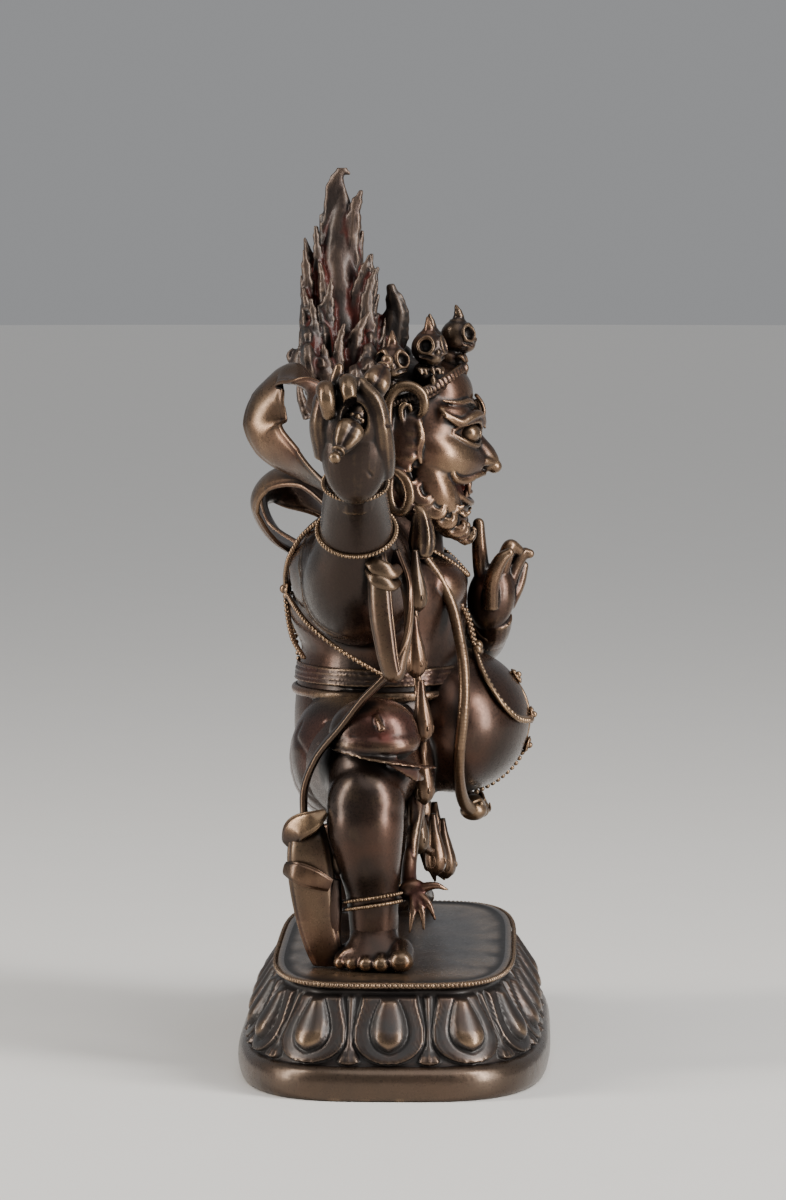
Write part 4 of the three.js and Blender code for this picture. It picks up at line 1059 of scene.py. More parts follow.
def dress_beads():
    bead = sizes().bead / MM
    ring_bead = sizes().ring_bead / MM * 1.1
    forms = []
    neck = symmetric([(-12.6, -8.4, 114.8), (-8.6, -12.8, 111.9)], (0, -17, 108))
    chest = symmetric(
        [(-14, -7.9, 113.8), (-9, -13.4, 105.9), (-5.4, -17.2, 98), (-5, -18.8, 91.6)], (0, -20, 90.6)
    )
    shoulder = [(-29, 15.8, 122), (-23, 19.8, 118.2), (-17, 22.6, 113.6), (-8, 24, 109), (0, 24.4, 105.6)]
    left_shoulder = [(0, 24.4, 105.6), (8, 23.2, 108.4), (16, 18.6, 110.4), (23, 13, 113)]
    flank = [
        (-3, 23.8, 103.6), (-14, 21.8, 102), (-23, 18, 98.4), (-27.4, 12, 94), (-29, 6, 90.4), (-28, 0, 87)
    ]
    left_flank = [(3, 23.6, 103.6), (14, 20.6, 101.6), (21, 15.4, 97.4), (24.2, 8, 92.4), (23, 0, 87.4)]
    outer = [(0, 24.6, 104.6), (-4, 23.8, 99), (-10, 22.4, 94.4), (-17, 19.6, 90.6)]
    for path in (neck, chest, shoulder, left_shoulder, flank, left_flank, outer, mirror_path(outer)):
        forms += string_of_beads(path, bead)
        forms.append(tube([(x, y * 0.985, z) for x, y, z in path], 0.4, sides=8, steps=60, up=(0, 0.1, 1)))
    belly = symmetric(
        [(-5.4, -18.8, 91), (-14.2, -21, 86.5), (-16.8, -24.6, 81), (-13.2, -28.2, 76.9), (-6, -30.8, 75.5)],
        (0, -31.4, 75.3),
    )
    under = [on_belly(z, 0.25) for z in (69.4, 65.4, 61.4)] + [(0, -18.4, 58.2)]
    forms += string_of_beads(belly, bead * 1.15) + string_of_beads(under, bead * 1.1)
    band = [(x, y + 0.3, z + 0.2) for x, y, z in belly]
    forms.append(tube(band, 0.9, 0.5, sides=10, steps=90, up=(0, -1, 0.2)))
    forms.append(tube(
        [on_belly(z, -0.1) for z in (86, 80, 75, 70)], 0.9, 0.4, up=(0, -1, 0), sides=10, steps=30
    ))
    fall = [(0, 23.8, 102), (0, 22.2, 94), (0, 21.2, 87)]
    forms += string_of_beads(fall, bead)
    forms += rosette(np.array([0, 23.9, 104.6]), (0, 1, 0.1), 2.6)
    for z in (85, 76.2, 69.4):
        spot = np.array(on_belly(z, 0.5))
        forms += rosette(spot, spot - BELLY_MIDDLE, 1.8, 6)
    for side in SIDES:
        forms.append(ball((side * 5.6, -19.2, 91.4), (1.3, 1.2, 1.3)))
    for middle, axis, radius in (
        ((-39.4, 6.9, 120.6), (-0.62, 0, 0.78), 8.8), ((-51, 6.8, 131.6), (-0.5, 0, 0.86), 7.1),
        ((16, -20.8, 94), (-0.82, -0.3, 0.5), 5), ((34, 0.6, 101), (0.66, -0.3, -0.7), 8.4),
    ):
        axis = unit(np.array(axis))
        forms += bead_ring(np.array(middle) + axis * 0.3, radius, axis, ring_bead)
        forms.append(hoop(np.array(middle) + axis * 0.3, (radius - 0.3, radius - 0.3), 0.4, axis, steps=60))
    forms += anklet_forms((-37.6, 3.4, 38.6), (0.1, 0.16, 1), 6.7)
    forms += anklet_forms((42.2, 2.8, 35), (-0.5, 0, 0.86), 6.6)
    piece = gather("bead_strings", forms)
    finish_figure(piece, carved_metal(), rub_and_sheen=lambda places: np.full(len(places), 0.45))


# Head

def skull_and_jaw():
    nose = [(0, -15, 142.4), (0, -17.6, 138), (0, -20.6, 134.6), (0, -22.8, 132.6)]
    forms = [
        ball(HEAD_MIDDLE, HEAD_RADII, around=48, down=32),
        ball((0, -9, 149), (10.6, 9.2, 8), around=36, down=24),
        ball((0, -5.5, 127.5), (13.6, 11.6, 9.6), around=40, down=26),
        ball((0, -12.4, 121), (6.4, 4.6, 3.4), around=28, down=20),
        tube([(0, 0, 134), (0, -1, 122), (0, 0, 114)], [11, 10, 12], sides=28, steps=20),
        tube(nose, [2.6, 3.2, 3.2, 2.2], sides=16, steps=24),
        ball((0, -15, 131.8), (7.6, 5.2, 2.6), around=28, down=16),
        ball((0, -13.6, 123.4), (6.4, 3.6, 2.4), around=28, down=16),
    ]
    cheek = [(-10.2, -4, 138.6), (-9.2, -9.6, 136.4), (-5.6, -14.6, 134.6), (-2, -18.8, 133.4)]
    jaw = [(-9.8, -6.6, 134), (-9, -9.6, 127), (-6.5, -12.4, 121.8)]
    pairs = [
        tube(cheek, [5.4, 5.8, 5.2, 3.2], sides=24, steps=24),
        tube(jaw, [5, 5, 3.8], sides=24, steps=20),
        tube([(-12.4, -10, 145), (-8.2, -14.6, 144.8), (-3, -16.6, 144)], [2, 2.6, 2.4], sides=16, steps=16),
    ]
    return forms, pairs


def face_trim():
    brow = [
        (-13.4, -11.4, 145.4), (-11, -14.9, 143.2), (-8.4, -17.3, 144.2), (-5.4, -19, 144.6),
        (-2, -20.4, 142.2),
    ]
    edge = [(x * 1.02, y - 0.5, z - 0.9) for x, y, z in brow]
    crease = [(-13, -11.4, 148), (-9.6, -15.2, 147.4), (-6, -17.4, 147.6), (-2.8, -18.7, 146.4)]
    over_lid = [(-11.6, -13.6, 141.2), (-9, -17.4, 142.8), (-5.8, -19.6, 143), (-2.6, -19.8, 140.4)]
    under_lid = [(-11.8, -13.4, 140.6), (-9.4, -16.9, 138.6), (-6.2, -19.1, 137.6), (-2.6, -19.8, 138.6)]
    nostril = [(-1.6, -22.6, 133.6), (-3.3, -20.6, 133.9), (-3.9, -18.6, 132.8), (-3, -18.2, 131.4)]
    moustache = [
        (-1.4, -21, 131), (-4.6, -19.4, 130.9), (-8, -16.2, 129.8), (-10.6, -14.4, 130.4),
        (-11.4, -13.6, 132.2), (-10.6, -14.2, 133),
    ]
    low_lip = [(-8.6, -14, 127.4), (-6.4, -16, 125.6), (-3.2, -17.3, 124.6), (0, -17.7, 124.4)]
    return [
        tube(brow, [0.5, 0.95, 1.1, 1.1, 0.6], [0.5, 1.3, 1.6, 1.6, 0.9], sides=12, steps=28),
        tube(edge, [0.25, 0.4, 0.45, 0.45, 0.3], sides=8, steps=28),
        tube(crease, [0.3, 0.6, 0.7, 0.4], sides=10, steps=20),
        tube(over_lid, [0.35, 0.55, 0.6, 0.4], sides=10, steps=20),
        tube(under_lid, [0.35, 0.6, 0.65, 0.4], sides=10, steps=20),
        tube(nostril, [0.8, 1.1, 1.1, 0.6], sides=12, steps=20),
        tube(moustache, [0.6, 0.9, 0.95, 0.8, 0.6, 0.25], sides=12, steps=36),
        tube(low_lip, [0.6, 0.8, 0.85, 0.85], sides=10, steps=20),
    ]


def ear_forms():
    helix = [
        (-16.2, -6, 144.6), (-17, -7.2, 146.1), (-17.4, -7.1, 149.1), (-17.6, -4.8, 151.2),
        (-17.4, -1.6, 151), (-17.4, 0.3, 148.4), (-17.4, 0.6, 143), (-17.2, -0.4, 137),
    ]
    inner = [(-16.8, -4.6, 145.8), (-17.2, -3.6, 148), (-17.2, -2.2, 146.4), (-17.2, -2.8, 142.4)]
    lobe = [(-15.4, -2.8, 147), (-16.4, -2.6, 142), (-16.9, -2.4, 137), (-17.2, -2.4, 132.2)]
    strap = [
        (-17.9, -0.6, 132.4), (-19, -3.2, 130.6), (-19.3, -4.2, 126.8), (-19, -2.9, 123.6),
        (-18.4, -0.8, 123.8), (-18, 0.4, 128),
    ]
    bud = [
        (-18.8, -4.8, 124.6), (-19.3, -6.3, 123.6), (-19.8, -7, 120), (-20, -7, 116.6), (-20, -6.9, 114.2)
    ]

    def flutes(times, angle):
        return 0.16 * np.cos(angle * 9) * soft_step(0.2, 0.5, times)

    def rough_edge(times, angle):
        return 0.25 * np.sin(times * 34) * np.abs(np.cos(angle))

    return [
        tube(
            helix, [0.6, 1.1, 1.3, 1.3, 1.3, 1.2, 1.1, 0.9], [0.7, 1, 1.1, 1.1, 1.1, 1, 1, 0.9], sides=12,
            steps=56, up=(1, 0, 0),
        ),
        tube(inner, [0.5, 0.8, 0.8, 0.5], sides=10, steps=16, up=(1, 0, 0)),
        tube(
            lobe, [3.6, 4.4, 3.6, 2], [0.9, 1.4, 1.3, 0.9], up=(1, 0, 0), sides=20, steps=40,
            relief=rough_edge,
        ),
        tube(
            [(-16.4, -6, 143.4), (-16.8, -6.6, 140), (-16.4, -6, 136.8), (-16, -6.6, 134)],
            [0.9, 1.1, 1, 0.5], sides=12, steps=20, up=(1, 0, 0), relief=strands,
        ),
        tube(strap, [0.9, 1.2, 1.2, 1.1, 1.1, 1], 0.8, up=(1, 0, 0), sides=12, steps=40, closed=True),
        tube(
            bud, [0.7, 1.6, 2.6, 3, 2.4], [0.7, 1.4, 2.1, 2.4, 2], up=(1, 0, 0), sides=36, steps=28,
            relief=flutes,
        ),
        ball((-20, -7, 114.2), (2, 2.2, 1.2)),
    ]


def curl_forms():
    """The beard and side whiskers: flame locks that curl up along the jaw"""
    jaw = [
        (-13.8, 0.4, 135), (-13.6, -4.6, 128.4), (-11.6, -9.4, 123.6), (-8.2, -13, 120.2), (-3, -15, 118.4)
    ]
    draw = random.Random(5)
    forms = []
    locks = 8
    for lock in range(locks):
        x, y, z = curve(jaw, np.array([lock / (locks - 1)]))[0]
        size = draw.uniform(0.9, 1.2)
        path = [
            (x * 0.84, y * 0.9 + 1.4, z + 3.4), (x * 1.02, y + 0.8, z + 0.8),
            (x * 1.04, y - 0.6 * size, z - 1.5 * size),
            (x * 1.02, y - 2.4 * size, z - 1.7 * size), (x * 0.98, y - 3 * size, z - 0.4),
            (x * 0.96, y - 2.4 * size, z + 0.2),
        ]
        forms.append(tube(
            path, [2.1, 2.2, 1.9, 1.4, 0.9, 0.4], [1.7, 1.7, 1.4, 1.1, 0.8, 0.4], up=(x, y, 0), sides=16,
            steps=30, relief=strands,
        ))
    for lock in range(7):
        x, y, z = curve(jaw, np.array([lock / 7.5]))[0]
        path = [
            (x * 0.9, y + 3, z + 4), (x * 1.03, y + 2.4, z + 1), (x, y + 1, z - 1.6),
            (x * 0.94, y - 0.6, z - 2.8),
        ]
        forms.append(tube(path, [2.2, 2, 1.4, 0.4], sides=14, steps=20, relief=strands))
        high = [
            (x * 0.98, y - 0.2, z + 5.6), (x * 1.02, y - 1.2, z + 3.8), (x * 1.02, y - 2.8, z + 2.4),
            (x * 0.98, y - 4.4, z + 3.2),
        ]
        forms.append(tube(
            high, [0.6, 1, 0.9, 0.2], [0.4, 0.6, 0.6, 0.2], up=(x, y, 0), sides=10, steps=18, relief=strands
        ))
    for lock in range(6):
        z = 148 - lock * 2.9
        path = [(-13.6, 1.6, z + 3), (-15.6, 1.6 - lock * 0.2, z), (-15, 0 - lock * 0.3, z - 3)]
        forms.append(tube(path, [1.8, 1.5, 0.4], sides=12, steps=14, relief=strands))
    return forms


def strands(times, angle):
    """The grooves between the strands of a lock"""
    return 0.17 * np.cos(angle * 5 + times * 2)


def teeth_and_eyes():
    forms = []
    for step in range(-4, 5):
        forms.append(ball(
            (step * 1.4, -18.2 + 0.16 * step * step, 130.2), (0.72, 0.6, 1), around=10, down=8
        ))
        forms.append(ball(
            (step * 1.3, -16.9 + 0.16 * step * step, 126.2), (0.62, 0.55, 0.7), around=10, down=8
        ))
    for side in SIDES:
        fang = [(side * 5.6, -16.6, 130.4), (side * 5.9, -17.2, 128.4), (side * 5.7, -17.2, 126.6)]
        forms.append(tube(fang, [0.95, 0.7, 0.15], sides=10, steps=10))
        low_fang = [(side * 4.2, -16, 125.4), (side * 4.4, -16.7, 127.4), (side * 4.2, -16.6, 128.6)]
        forms.append(tube(low_fang, [0.8, 0.55, 0.12], sides=10, steps=8))
        forms.append(ball((side * 5.8, -17, 140.4), (3.3, 2.9, 2.5), around=28, down=20))
        forms.append(ball((side * 5.7, -19.7, 140.3), (1.1, 0.5, 1.1), around=16, down=10))
    forms.append(ball((0, -15, 127.4), (3.6, 3.2, 1.2), (12, 0, 0)))
    forms.append(ball((0, -18.8, 145.6), (1.35, 1.2, 2.3), around=20, down=14))
    rim = []
    for step in range(32):
        angle = step / 32 * FULL_TURN
        bulge = 1.2 * math.cos(angle) ** 2
        rim.append((
            1.75 * math.cos(angle), -19.3 - bulge + 0.5 * math.sin(angle), 145.6 + 3.1 * math.sin(angle)
        ))
    forms.append(tube(rim, 0.45, sides=10, steps=48, closed=True, up=(0, -1, 0)))
    return forms


def dress_head():
    middle_forms, pairs = skull_and_jaw()
    base = cast("head base", middle_forms + both_sides(pairs), grain=0.5, soften=10)
    forms = [base.data.copy()] + both_sides(face_trim() + ear_forms() + curl_forms())
    bpy.data.objects.remove(base)
    forms.append(ball((0, -22.9, 132.6), (1.9, 1.8, 1.6)))
    piece = cast("head", forms, grain=0.3, soften=2)
    hollow(piece, (0, -18.6, 128.6), (7.6, 6, 2.5), (0, 1, 0))
    for side in SIDES:
        hollow(piece, (side * 7.4, -19, 140.4), (3.9, 4, 2.1), (-side * 0.5, 1, 0))
        hollow(piece, (side * 16.6, -3.8, 148.6), (1.6, 1.9, 1.6), (-side, 0, 0))
        hollow(piece, (side * 2.1, -21.6, 131.2), (0.8, 0.8, 0.8), (0, 0, 1))
    hollow(piece, (0, -20.4, 145.8), (1.5, 1.6, 2.6), (0, 1, 0))
    piece = join(piece, gather("teeth_and_eyes", teeth_and_eyes()))

    # Polished metal on the nose, eyes and jaw; on the cheeks and forehead it is also a painted highlight
    def rub_and_sheen(places):
        total = 0.7 * near((0, -23, 133), 2.6)(places) + 0.25 * near((0, -17, 150), (6, 4, 4))(places)
        for side in SIDES:
            total += 0.55 * near((side * 10.5, -13, 134), (4, 5, 5.5))(places)
            total += (
                0.5 * near((side * 5.6, -20, 140), 1.6)(places)
                + 0.5 * near((side * 10, -13, 123), 4.5)(places)
            )
        return total

    def paint(places):
        return 0.9 * near((0, -14.6, 128.4), (7, 3.6, 2.6))(places)

    finish_figure(piece, skin_metal(), rub_and_sheen=rub_and_sheen, paint=paint)


def join(first, second):
    """Puts two objects' meshes into the first"""
    bm = bmesh.new()
    bm.from_mesh(first.data)
    bm.from_mesh(second.data)
    bm.to_mesh(first.data)
    bm.free()
    bpy.data.objects.remove(second)
    return first


# Crown

EYE_TURN = 43
EYE_RISE = 14


def crown_spots():
    for degrees in (0, 56, -56, 90, -90):
        angle = math.radians(degrees)
        drop = 5.4 * (1 - math.cos(angle))
        middle = np.array([
            CROWN_RADIUS * math.sin(angle), -CROWN_RADIUS * math.cos(angle) - 0.2, 161.8 - drop
        ])
        yield angle, middle


def skull_way(turn, rise):
    """A direction from a skull's middle, turned round from its front and raised, in degrees"""
    turn, rise = math.radians(turn), math.radians(rise)
    return np.array([math.sin(turn) * math.cos(rise), -math.cos(turn) * math.cos(rise), math.sin(rise)])


def skull_forms(middle, angle):
    size = sizes().skull / MM
    front = math.degrees(angle)
    forms = [
        ball(middle + (0, 0, 0.3), (size, size, size * 0.96), around=28, down=20),
        ball(middle + skull_way(front, -42) * size * 0.62, (2.3, 2.3, 1.9), around=20, down=14),
        ball(middle + skull_way(front, -8) * size * 0.96, (0.75, 0.75, 0.7), around=12, down=8),
    ]
    for side in SIDES:
        way = skull_way(front + side * EYE_TURN, EYE_RISE)
        forms.append(hoop(middle + way * size * 0.92, (1.75, 1.75), 0.42, way, steps=28, sides=8))
        brow = [
            middle + skull_way(front + side * turn, rise) * size * 1.05
            for turn, rise in ((14, 26), (36, 44), (62, 38))
        ]
        forms.append(tube(brow, [0.3, 0.55, 0.3], sides=8, steps=12, up=(0, 0, 1)))
    for rise, half in ((-21, 0.36), (-35, 0.34)):
        lip = [
            middle + skull_way(front + turn, rise + abs(turn) * 0.16) * size
            for turn in (-70, -45, -20, 0, 20, 45, 70)
        ]
        forms.append(tube(lip, half, sides=8, steps=24, up=(0, 0, 1)))
    return forms


def jewel_forms(middle, angle):
    x, y, z = middle
    out_x, out_y = math.sin(angle), -math.cos(angle)
    path = [
        (x, y, z + 2.6), (x + out_x * 0.2, y + out_y * 0.2, z + 5),
        (x - out_x * 0.5, y - out_y * 0.5, z + 7.4),
    ]

    def twist(times, turn):
        return 0.14 * np.sin(turn * 2 + times * 26) * (1 - times)

    return [
        tube(path, [1.55, 1.15, 0.28], sides=14, steps=30, up=(0, 1, 0), relief=twist),
        hoop(middle + (0, 0, 3.7), (1.5, 1.5), 0.38, (0, 0, 1), steps=20),
    ]


def crown_flower(middle, angle):
    x, y, z = middle
    out = np.array([math.sin(angle), -math.cos(angle), 0])
    side = np.array([math.cos(angle), math.sin(angle), 0])
    base = np.array([x, y, z - 5.2]) - out * 1.5
    forms = [ball(base, (2.8, 2.8, 2.6), around=16, down=12)]
    for turn in range(-2, 3):
        lean = turn * 0.62
        tip = base + out * (2.9 - 0.3 * abs(turn)) + side * 3 * math.sin(lean)
        path = [
            base + out * 1.6 + side * 1.8 * math.sin(lean), tip + (0, 0, 0.9), tip + out * 0.9 + (0, 0, -0.4)
        ]
        forms.append(tube(path, [1, 0.95, 0.3], [0.8, 0.6, 0.25], sides=10, steps=12, up=(0, 0, 1)))
    pendant = base + out * 3.2 + (0, 0, -1.8)
    forms.append(ball(pendant, (0.9, 0.9, 1.2), around=12, down=8))
    forms.append(ball(pendant + (0, 0, -1.3), 0.5, around=10, down=8))
    return forms


def dress_crown():
    band = [(-16, 2, 146.4), (-13.8, -7.6, 150), (0, -15, 154.4), (13.8, -7.6, 150), (16, 2, 146.4)]

    def ribs(times, angle):
        wave = np.sin(times * FULL_TURN * 50)
        return 0.17 * np.sign(wave) * np.abs(wave) ** 0.5

    forms = [tube(band, 1.2, 1, up=(0, 0.3, 1), sides=18, steps=400, relief=ribs, flat=0.5)]
    for shift in (1.35, -1.35):
        line = [(x, y - 0.5, z + shift) for x, y, z in band]
        forms.append(tube(line, 0.36, sides=8, steps=60, up=(0, 0.3, 1)))
    for angle, middle in crown_spots():
        forms += skull_forms(middle, angle) + jewel_forms(middle, angle) + crown_flower(middle, angle)
    piece = cast("skull_crown", forms, grain=0.27, soften=1)
    size = sizes().skull / MM
    for angle, middle in crown_spots():
        front = math.degrees(angle)
        for side in SIDES:
            way = skull_way(front + side * EYE_TURN, EYE_RISE)
            hollow(piece, middle + way * size * 0.95, (1.45, 1.45, 1.45), -way)
        slit = [
            middle + skull_way(front + turn, -28 + abs(turn) * 0.16) * size for turn in (-66, -40, 0, 40, 66)
        ]
        carve(piece, lambda places, slit=slit: groove(places, slit, 0.36, 0.7))
    finish_figure(piece, cloth_metal(), rub_and_sheen=lambda places: 0.15 * soft_step(166, 170, places[:, 2]))


# Hair

def hair_core(z):
    """The middle and the half sizes of the flame's core at a height"""
    marks = (150, 160, 170, 180, 190, 197)
    middle = np.interp(z, marks, (10.4, 11.2, 11.8, 12.2, 11.6, 11.6))
    half_deep = np.interp(z, marks, (13, 12, 8.6, 5.2, 2.4, 0.6))
    half_wide = np.interp(z, marks, (8, 6.6, 5.4, 4.4, 2.6, 0.6))
    return middle, half_deep, half_wide


def ragged(times, angle):
    """The torn edges and the grain of a flame cast thin"""
    edge = np.abs(np.cos(angle)) ** 2 * (np.sin(times * 31 + 1.3) + np.sin(times * 53) * np.sin(times * 17))
    return 0.24 * edge * soft_step(1, 0.8, times) + 0.15 * np.cos(angle * 7 + times * 3)


def hair_forms():
    heights = np.linspace(150, 197, 8)
    core = [hair_core(z) for z in heights]
    flame = [(0, middle, z) for (middle, _, _), z in zip(core, heights)]
    slab = [(8.6, 2.6, 154), (8.6, 0.6, 161), (8.2, -0.6, 167.4), (8, 0.8, 173.6)]
    forms = [
        ball((0, 3, 148), (15.4, 14, 11), around=36, down=24),
        tube(flame, [half for _, half, _ in core], [half for _, _, half in core], sides=40, steps=48),
        tube(
            slab, [3.6, 3.8, 2.8, 0.9], [4.4, 3.4, 2.2, 0.8], up=(1, 0, 0), sides=20, steps=30, relief=ragged
        ),
        ball((0, 20, 155), (4, 3.4, 5)),
        tube([(0, 21, 155), (0, 23.2, 157.6), (0, 22.4, 159.4)], [1.6, 1, 0.3], sides=10, steps=12),
    ]
    blades = [
        [
            (0.4, (13.6, 160), 4.2), (0, (13.8, 176), 3.8), (-0.4, (12.9, 188), 3.1), (0, (13, 196), 1.9),
            (0, (11.4, 199.3), 1), (0, (9.6, 198.4), 0.35),
        ],
        [
            (-3, (10.6, 158), 3), (-3, (10.4, 172), 2.8), (-2.6, (9.4, 184), 2.1), (-2, (8.4, 191), 1.4),
            (-1.6, (7, 195), 0.4),
        ],
        [
            (-6.4, (18.2, 150), 1.9), (-6, (18.8, 163), 1.8), (-5.4, (19.2, 174), 1.5),
            (-5, (19.8, 181.6), 0.4),
        ],
        [(-3.6, (16.8, 160), 1.7), (-3.4, (16.8, 174), 1.5), (-3, (17, 182), 1), (-3, (17.4, 187), 0.35)],
        [(-8, (8.8, 150), 3), (-8, (7.6, 164), 2.9), (-7.2, (6.6, 174), 2.1), (-6.6, (4.9, 180.6), 0.4)],
        [
            (-9.6, (6.4, 150), 2.6), (-9.6, (5.6, 163), 2.2), (-9, (5.4, 171), 1.5),
            (-8.6, (3.6, 177.6), 0.35),
        ],
        [
            (-13.4, (9, 148), 2.9), (-13.6, (8.6, 157), 2.4), (-13, (7.6, 163), 1.5),
            (-12.4, (4.8, 168), 0.35),
        ],
        [
            (-15.4, (12, 148), 2.4), (-15.6, (12, 156), 1.9), (-15, (11.6, 161), 1.1),
            (-14.8, (10.4, 165.4), 0.35),
        ],
        [
            (-14.2, (16.4, 148), 2.2), (-14.4, (17, 157), 1.9), (-13.6, (17.2, 165), 1.2),
            (-13, (18, 171), 0.35),
        ],
        [(-17.6, (13.4, 148), 2.2), (-17.8, (14.2, 155), 1.6), (-17.2, (15.2, 161), 0.35)],
        [(-17, (8, 148), 2), (-17.2, (7.4, 154), 1.6), (-16.6, (5.6, 159.4), 0.35)],
        [(-10.4, (14, 158), 2), (-10, (14.4, 168), 1.7), (-9, (13.4, 175.6), 0.35)],
    ]
    sides = []
    for blade in blades:
        path = [(x, y, z) for x, (y, z), _ in blade]
        wide = [half for _, _, half in blade]
        thick = [min(half, 1.5 - 0.12 * index) for index, half in enumerate(wide)]
        sides.append(tube(path, wide, thick, up=(-1, 0, 0.01), sides=20, steps=60, relief=ragged))
    forms += both_sides(sides)
    draw = random.Random(11)
    rows = [
        (4, 17.4, 0.5, 184, 5.4, 3.2, 0.6), (4, 5.6, -0.3, 176, 4.4, 3, -1),
        (3, 14.6, 0.3, 190, 8, 2.8, 0.6), (3, 8.4, -0.2, 187, 8, 2.8, -0.8),
    ]
    for reach, y, lean, tall, drop, half, curl in rows:
        for lock in range(-reach, reach + 1):
            x = lock * 17.4 / reach
            top = tall - drop * abs(lock) * 4 / reach + draw.uniform(-1.2, 1.2)
            sway = draw.uniform(-0.8, 0.8)
            path = [
                (x * 0.8, y, 150), (x * 1.05 + sway, y + lean * 2, (150 + top) / 2 + 2),
                (x * 0.96, y + lean * 3, top - 5), (x * 0.86, y + lean * 4 + curl, top),
            ]
            forms.append(tube(
                path, [half, half, half * 0.6, 0.35], [1.9, 1.7, 1.2, 0.35], up=(0, 1, 0), sides=18,
                steps=50, relief=ragged,
            ))
            tip = [
                (x, y + lean * 2, top - 18), (x * 1.04 + sway, y + lean * 3 + curl * 2, top - 13),
                (x * 0.98 - sway, y + lean * 3 + curl * 3, top - 8.5),
            ]
            forms.append(tube(
                tip, [1.9, 1.3, 0.3], [1.3, 0.9, 0.3], up=(0, 1, 0), sides=14, steps=24, relief=ragged
            ))
    return forms


def dress_hair():
    piece = cast("flame_hair", hair_forms(), grain=0.36, soften=1)

    def depth(places):
        grain = ripple(places * (1, 1, 0.5), 1.4, seed=22, octaves=2)
        waves = ripple(places * (1, 1, 0.3), 2.4, seed=24, octaves=2)
        pits = soft_step(0.4, 1.1, ripple(places, 1.0, seed=23, octaves=1))
        rise = soft_step(149, 156, places[:, 2]) * soft_step(TOTAL_HEIGHT, TOTAL_HEIGHT - 4, places[:, 2])
        return (0.12 * grain + 0.22 * np.abs(waves) + 0.2 * pits) * rise

    carve(piece, depth)
    places = read(piece.data)
    places[:, 2] = np.minimum(places[:, 2], TOTAL_HEIGHT)
    write(piece.data, places)
    sunk = np.clip(-stand_out(piece.data, 1.6) / 0.25, 0, 1)

    def paint(places):
        low = soft_step(192, 184, places[:, 2]) * soft_step(152, 160, places[:, 2])
        return low * sunk * 0.75

    finish_figure(piece, rough_metal(), paint=paint)


# Vajra

def dress_vajra():
    start, end = np.array([-71, 11, 137.4]), np.array([-51.4, -0.6, 159.2])
    axis = unit(end - start)
    length = np.linalg.norm(end - start)
    turn = facing(axis)

    def spot(share, out=0.0, angle=0.0):
        return start + axis * share * length + turn @ (out * math.cos(angle), out * math.sin(angle), 0)

    marks = [0, 0.02, 0.045, 0.075, 0.1, 0.16, 0.22, 0.27, 0.31, 0.34, 0.37, 0.42, 0.46, 0.5]
    radii = [0.3, 1.25, 1.35, 0.8, 1, 2.2, 3, 3.3, 3, 2.2, 1.3, 1.9, 2.2, 2.3]
    marks += [1 - mark for mark in reversed(marks[:-1])]
    radii += list(reversed(radii[:-1]))

    def lobes(times, angle):
        bulb = np.minimum(times, 1 - times)
        inside = soft_step(0.09, 0.16, bulb) * soft_step(0.37, 0.31, bulb)
        return 0.42 * inside * (np.abs(np.cos(angle * 2)) * 2 - 1.2)

    forms = [tube(
        [start, end], lambda time: float(np.interp(time, marks, radii)), sides=48, steps=110, up=(0, 0, 1),
        relief=lobes,
    )]
    petal_share = 0.39
    for half in (0, 1):
        for petal in range(8):
            share = 1 - petal_share if half else petal_share
            forms.append(ball(spot(share, 1.7, petal * math.pi / 4), 0.7, around=10, down=8))
        for share, size in ((0.1, 0.3), (0.36, 0.35)):
            forms.append(hoop(
                spot(1 - share if half else share), (1.35, 1.35), size, axis, steps=20, sides=8
            ))
    piece = cast("vajra", forms, grain=0.25, soften=1)
    finish_figure(piece, carved_metal(), rub_and_sheen=lambda places: 0.45 * near(start, 2.4)(places))


# Tiger skin

def belt_path(grow, z):
    angles = np.linspace(0, FULL_TURN, 24, endpoint=False)
    return [((22 + grow) * math.sin(angle), 2.2 + (18.6 + grow) * math.cos(angle), z) for angle in angles]


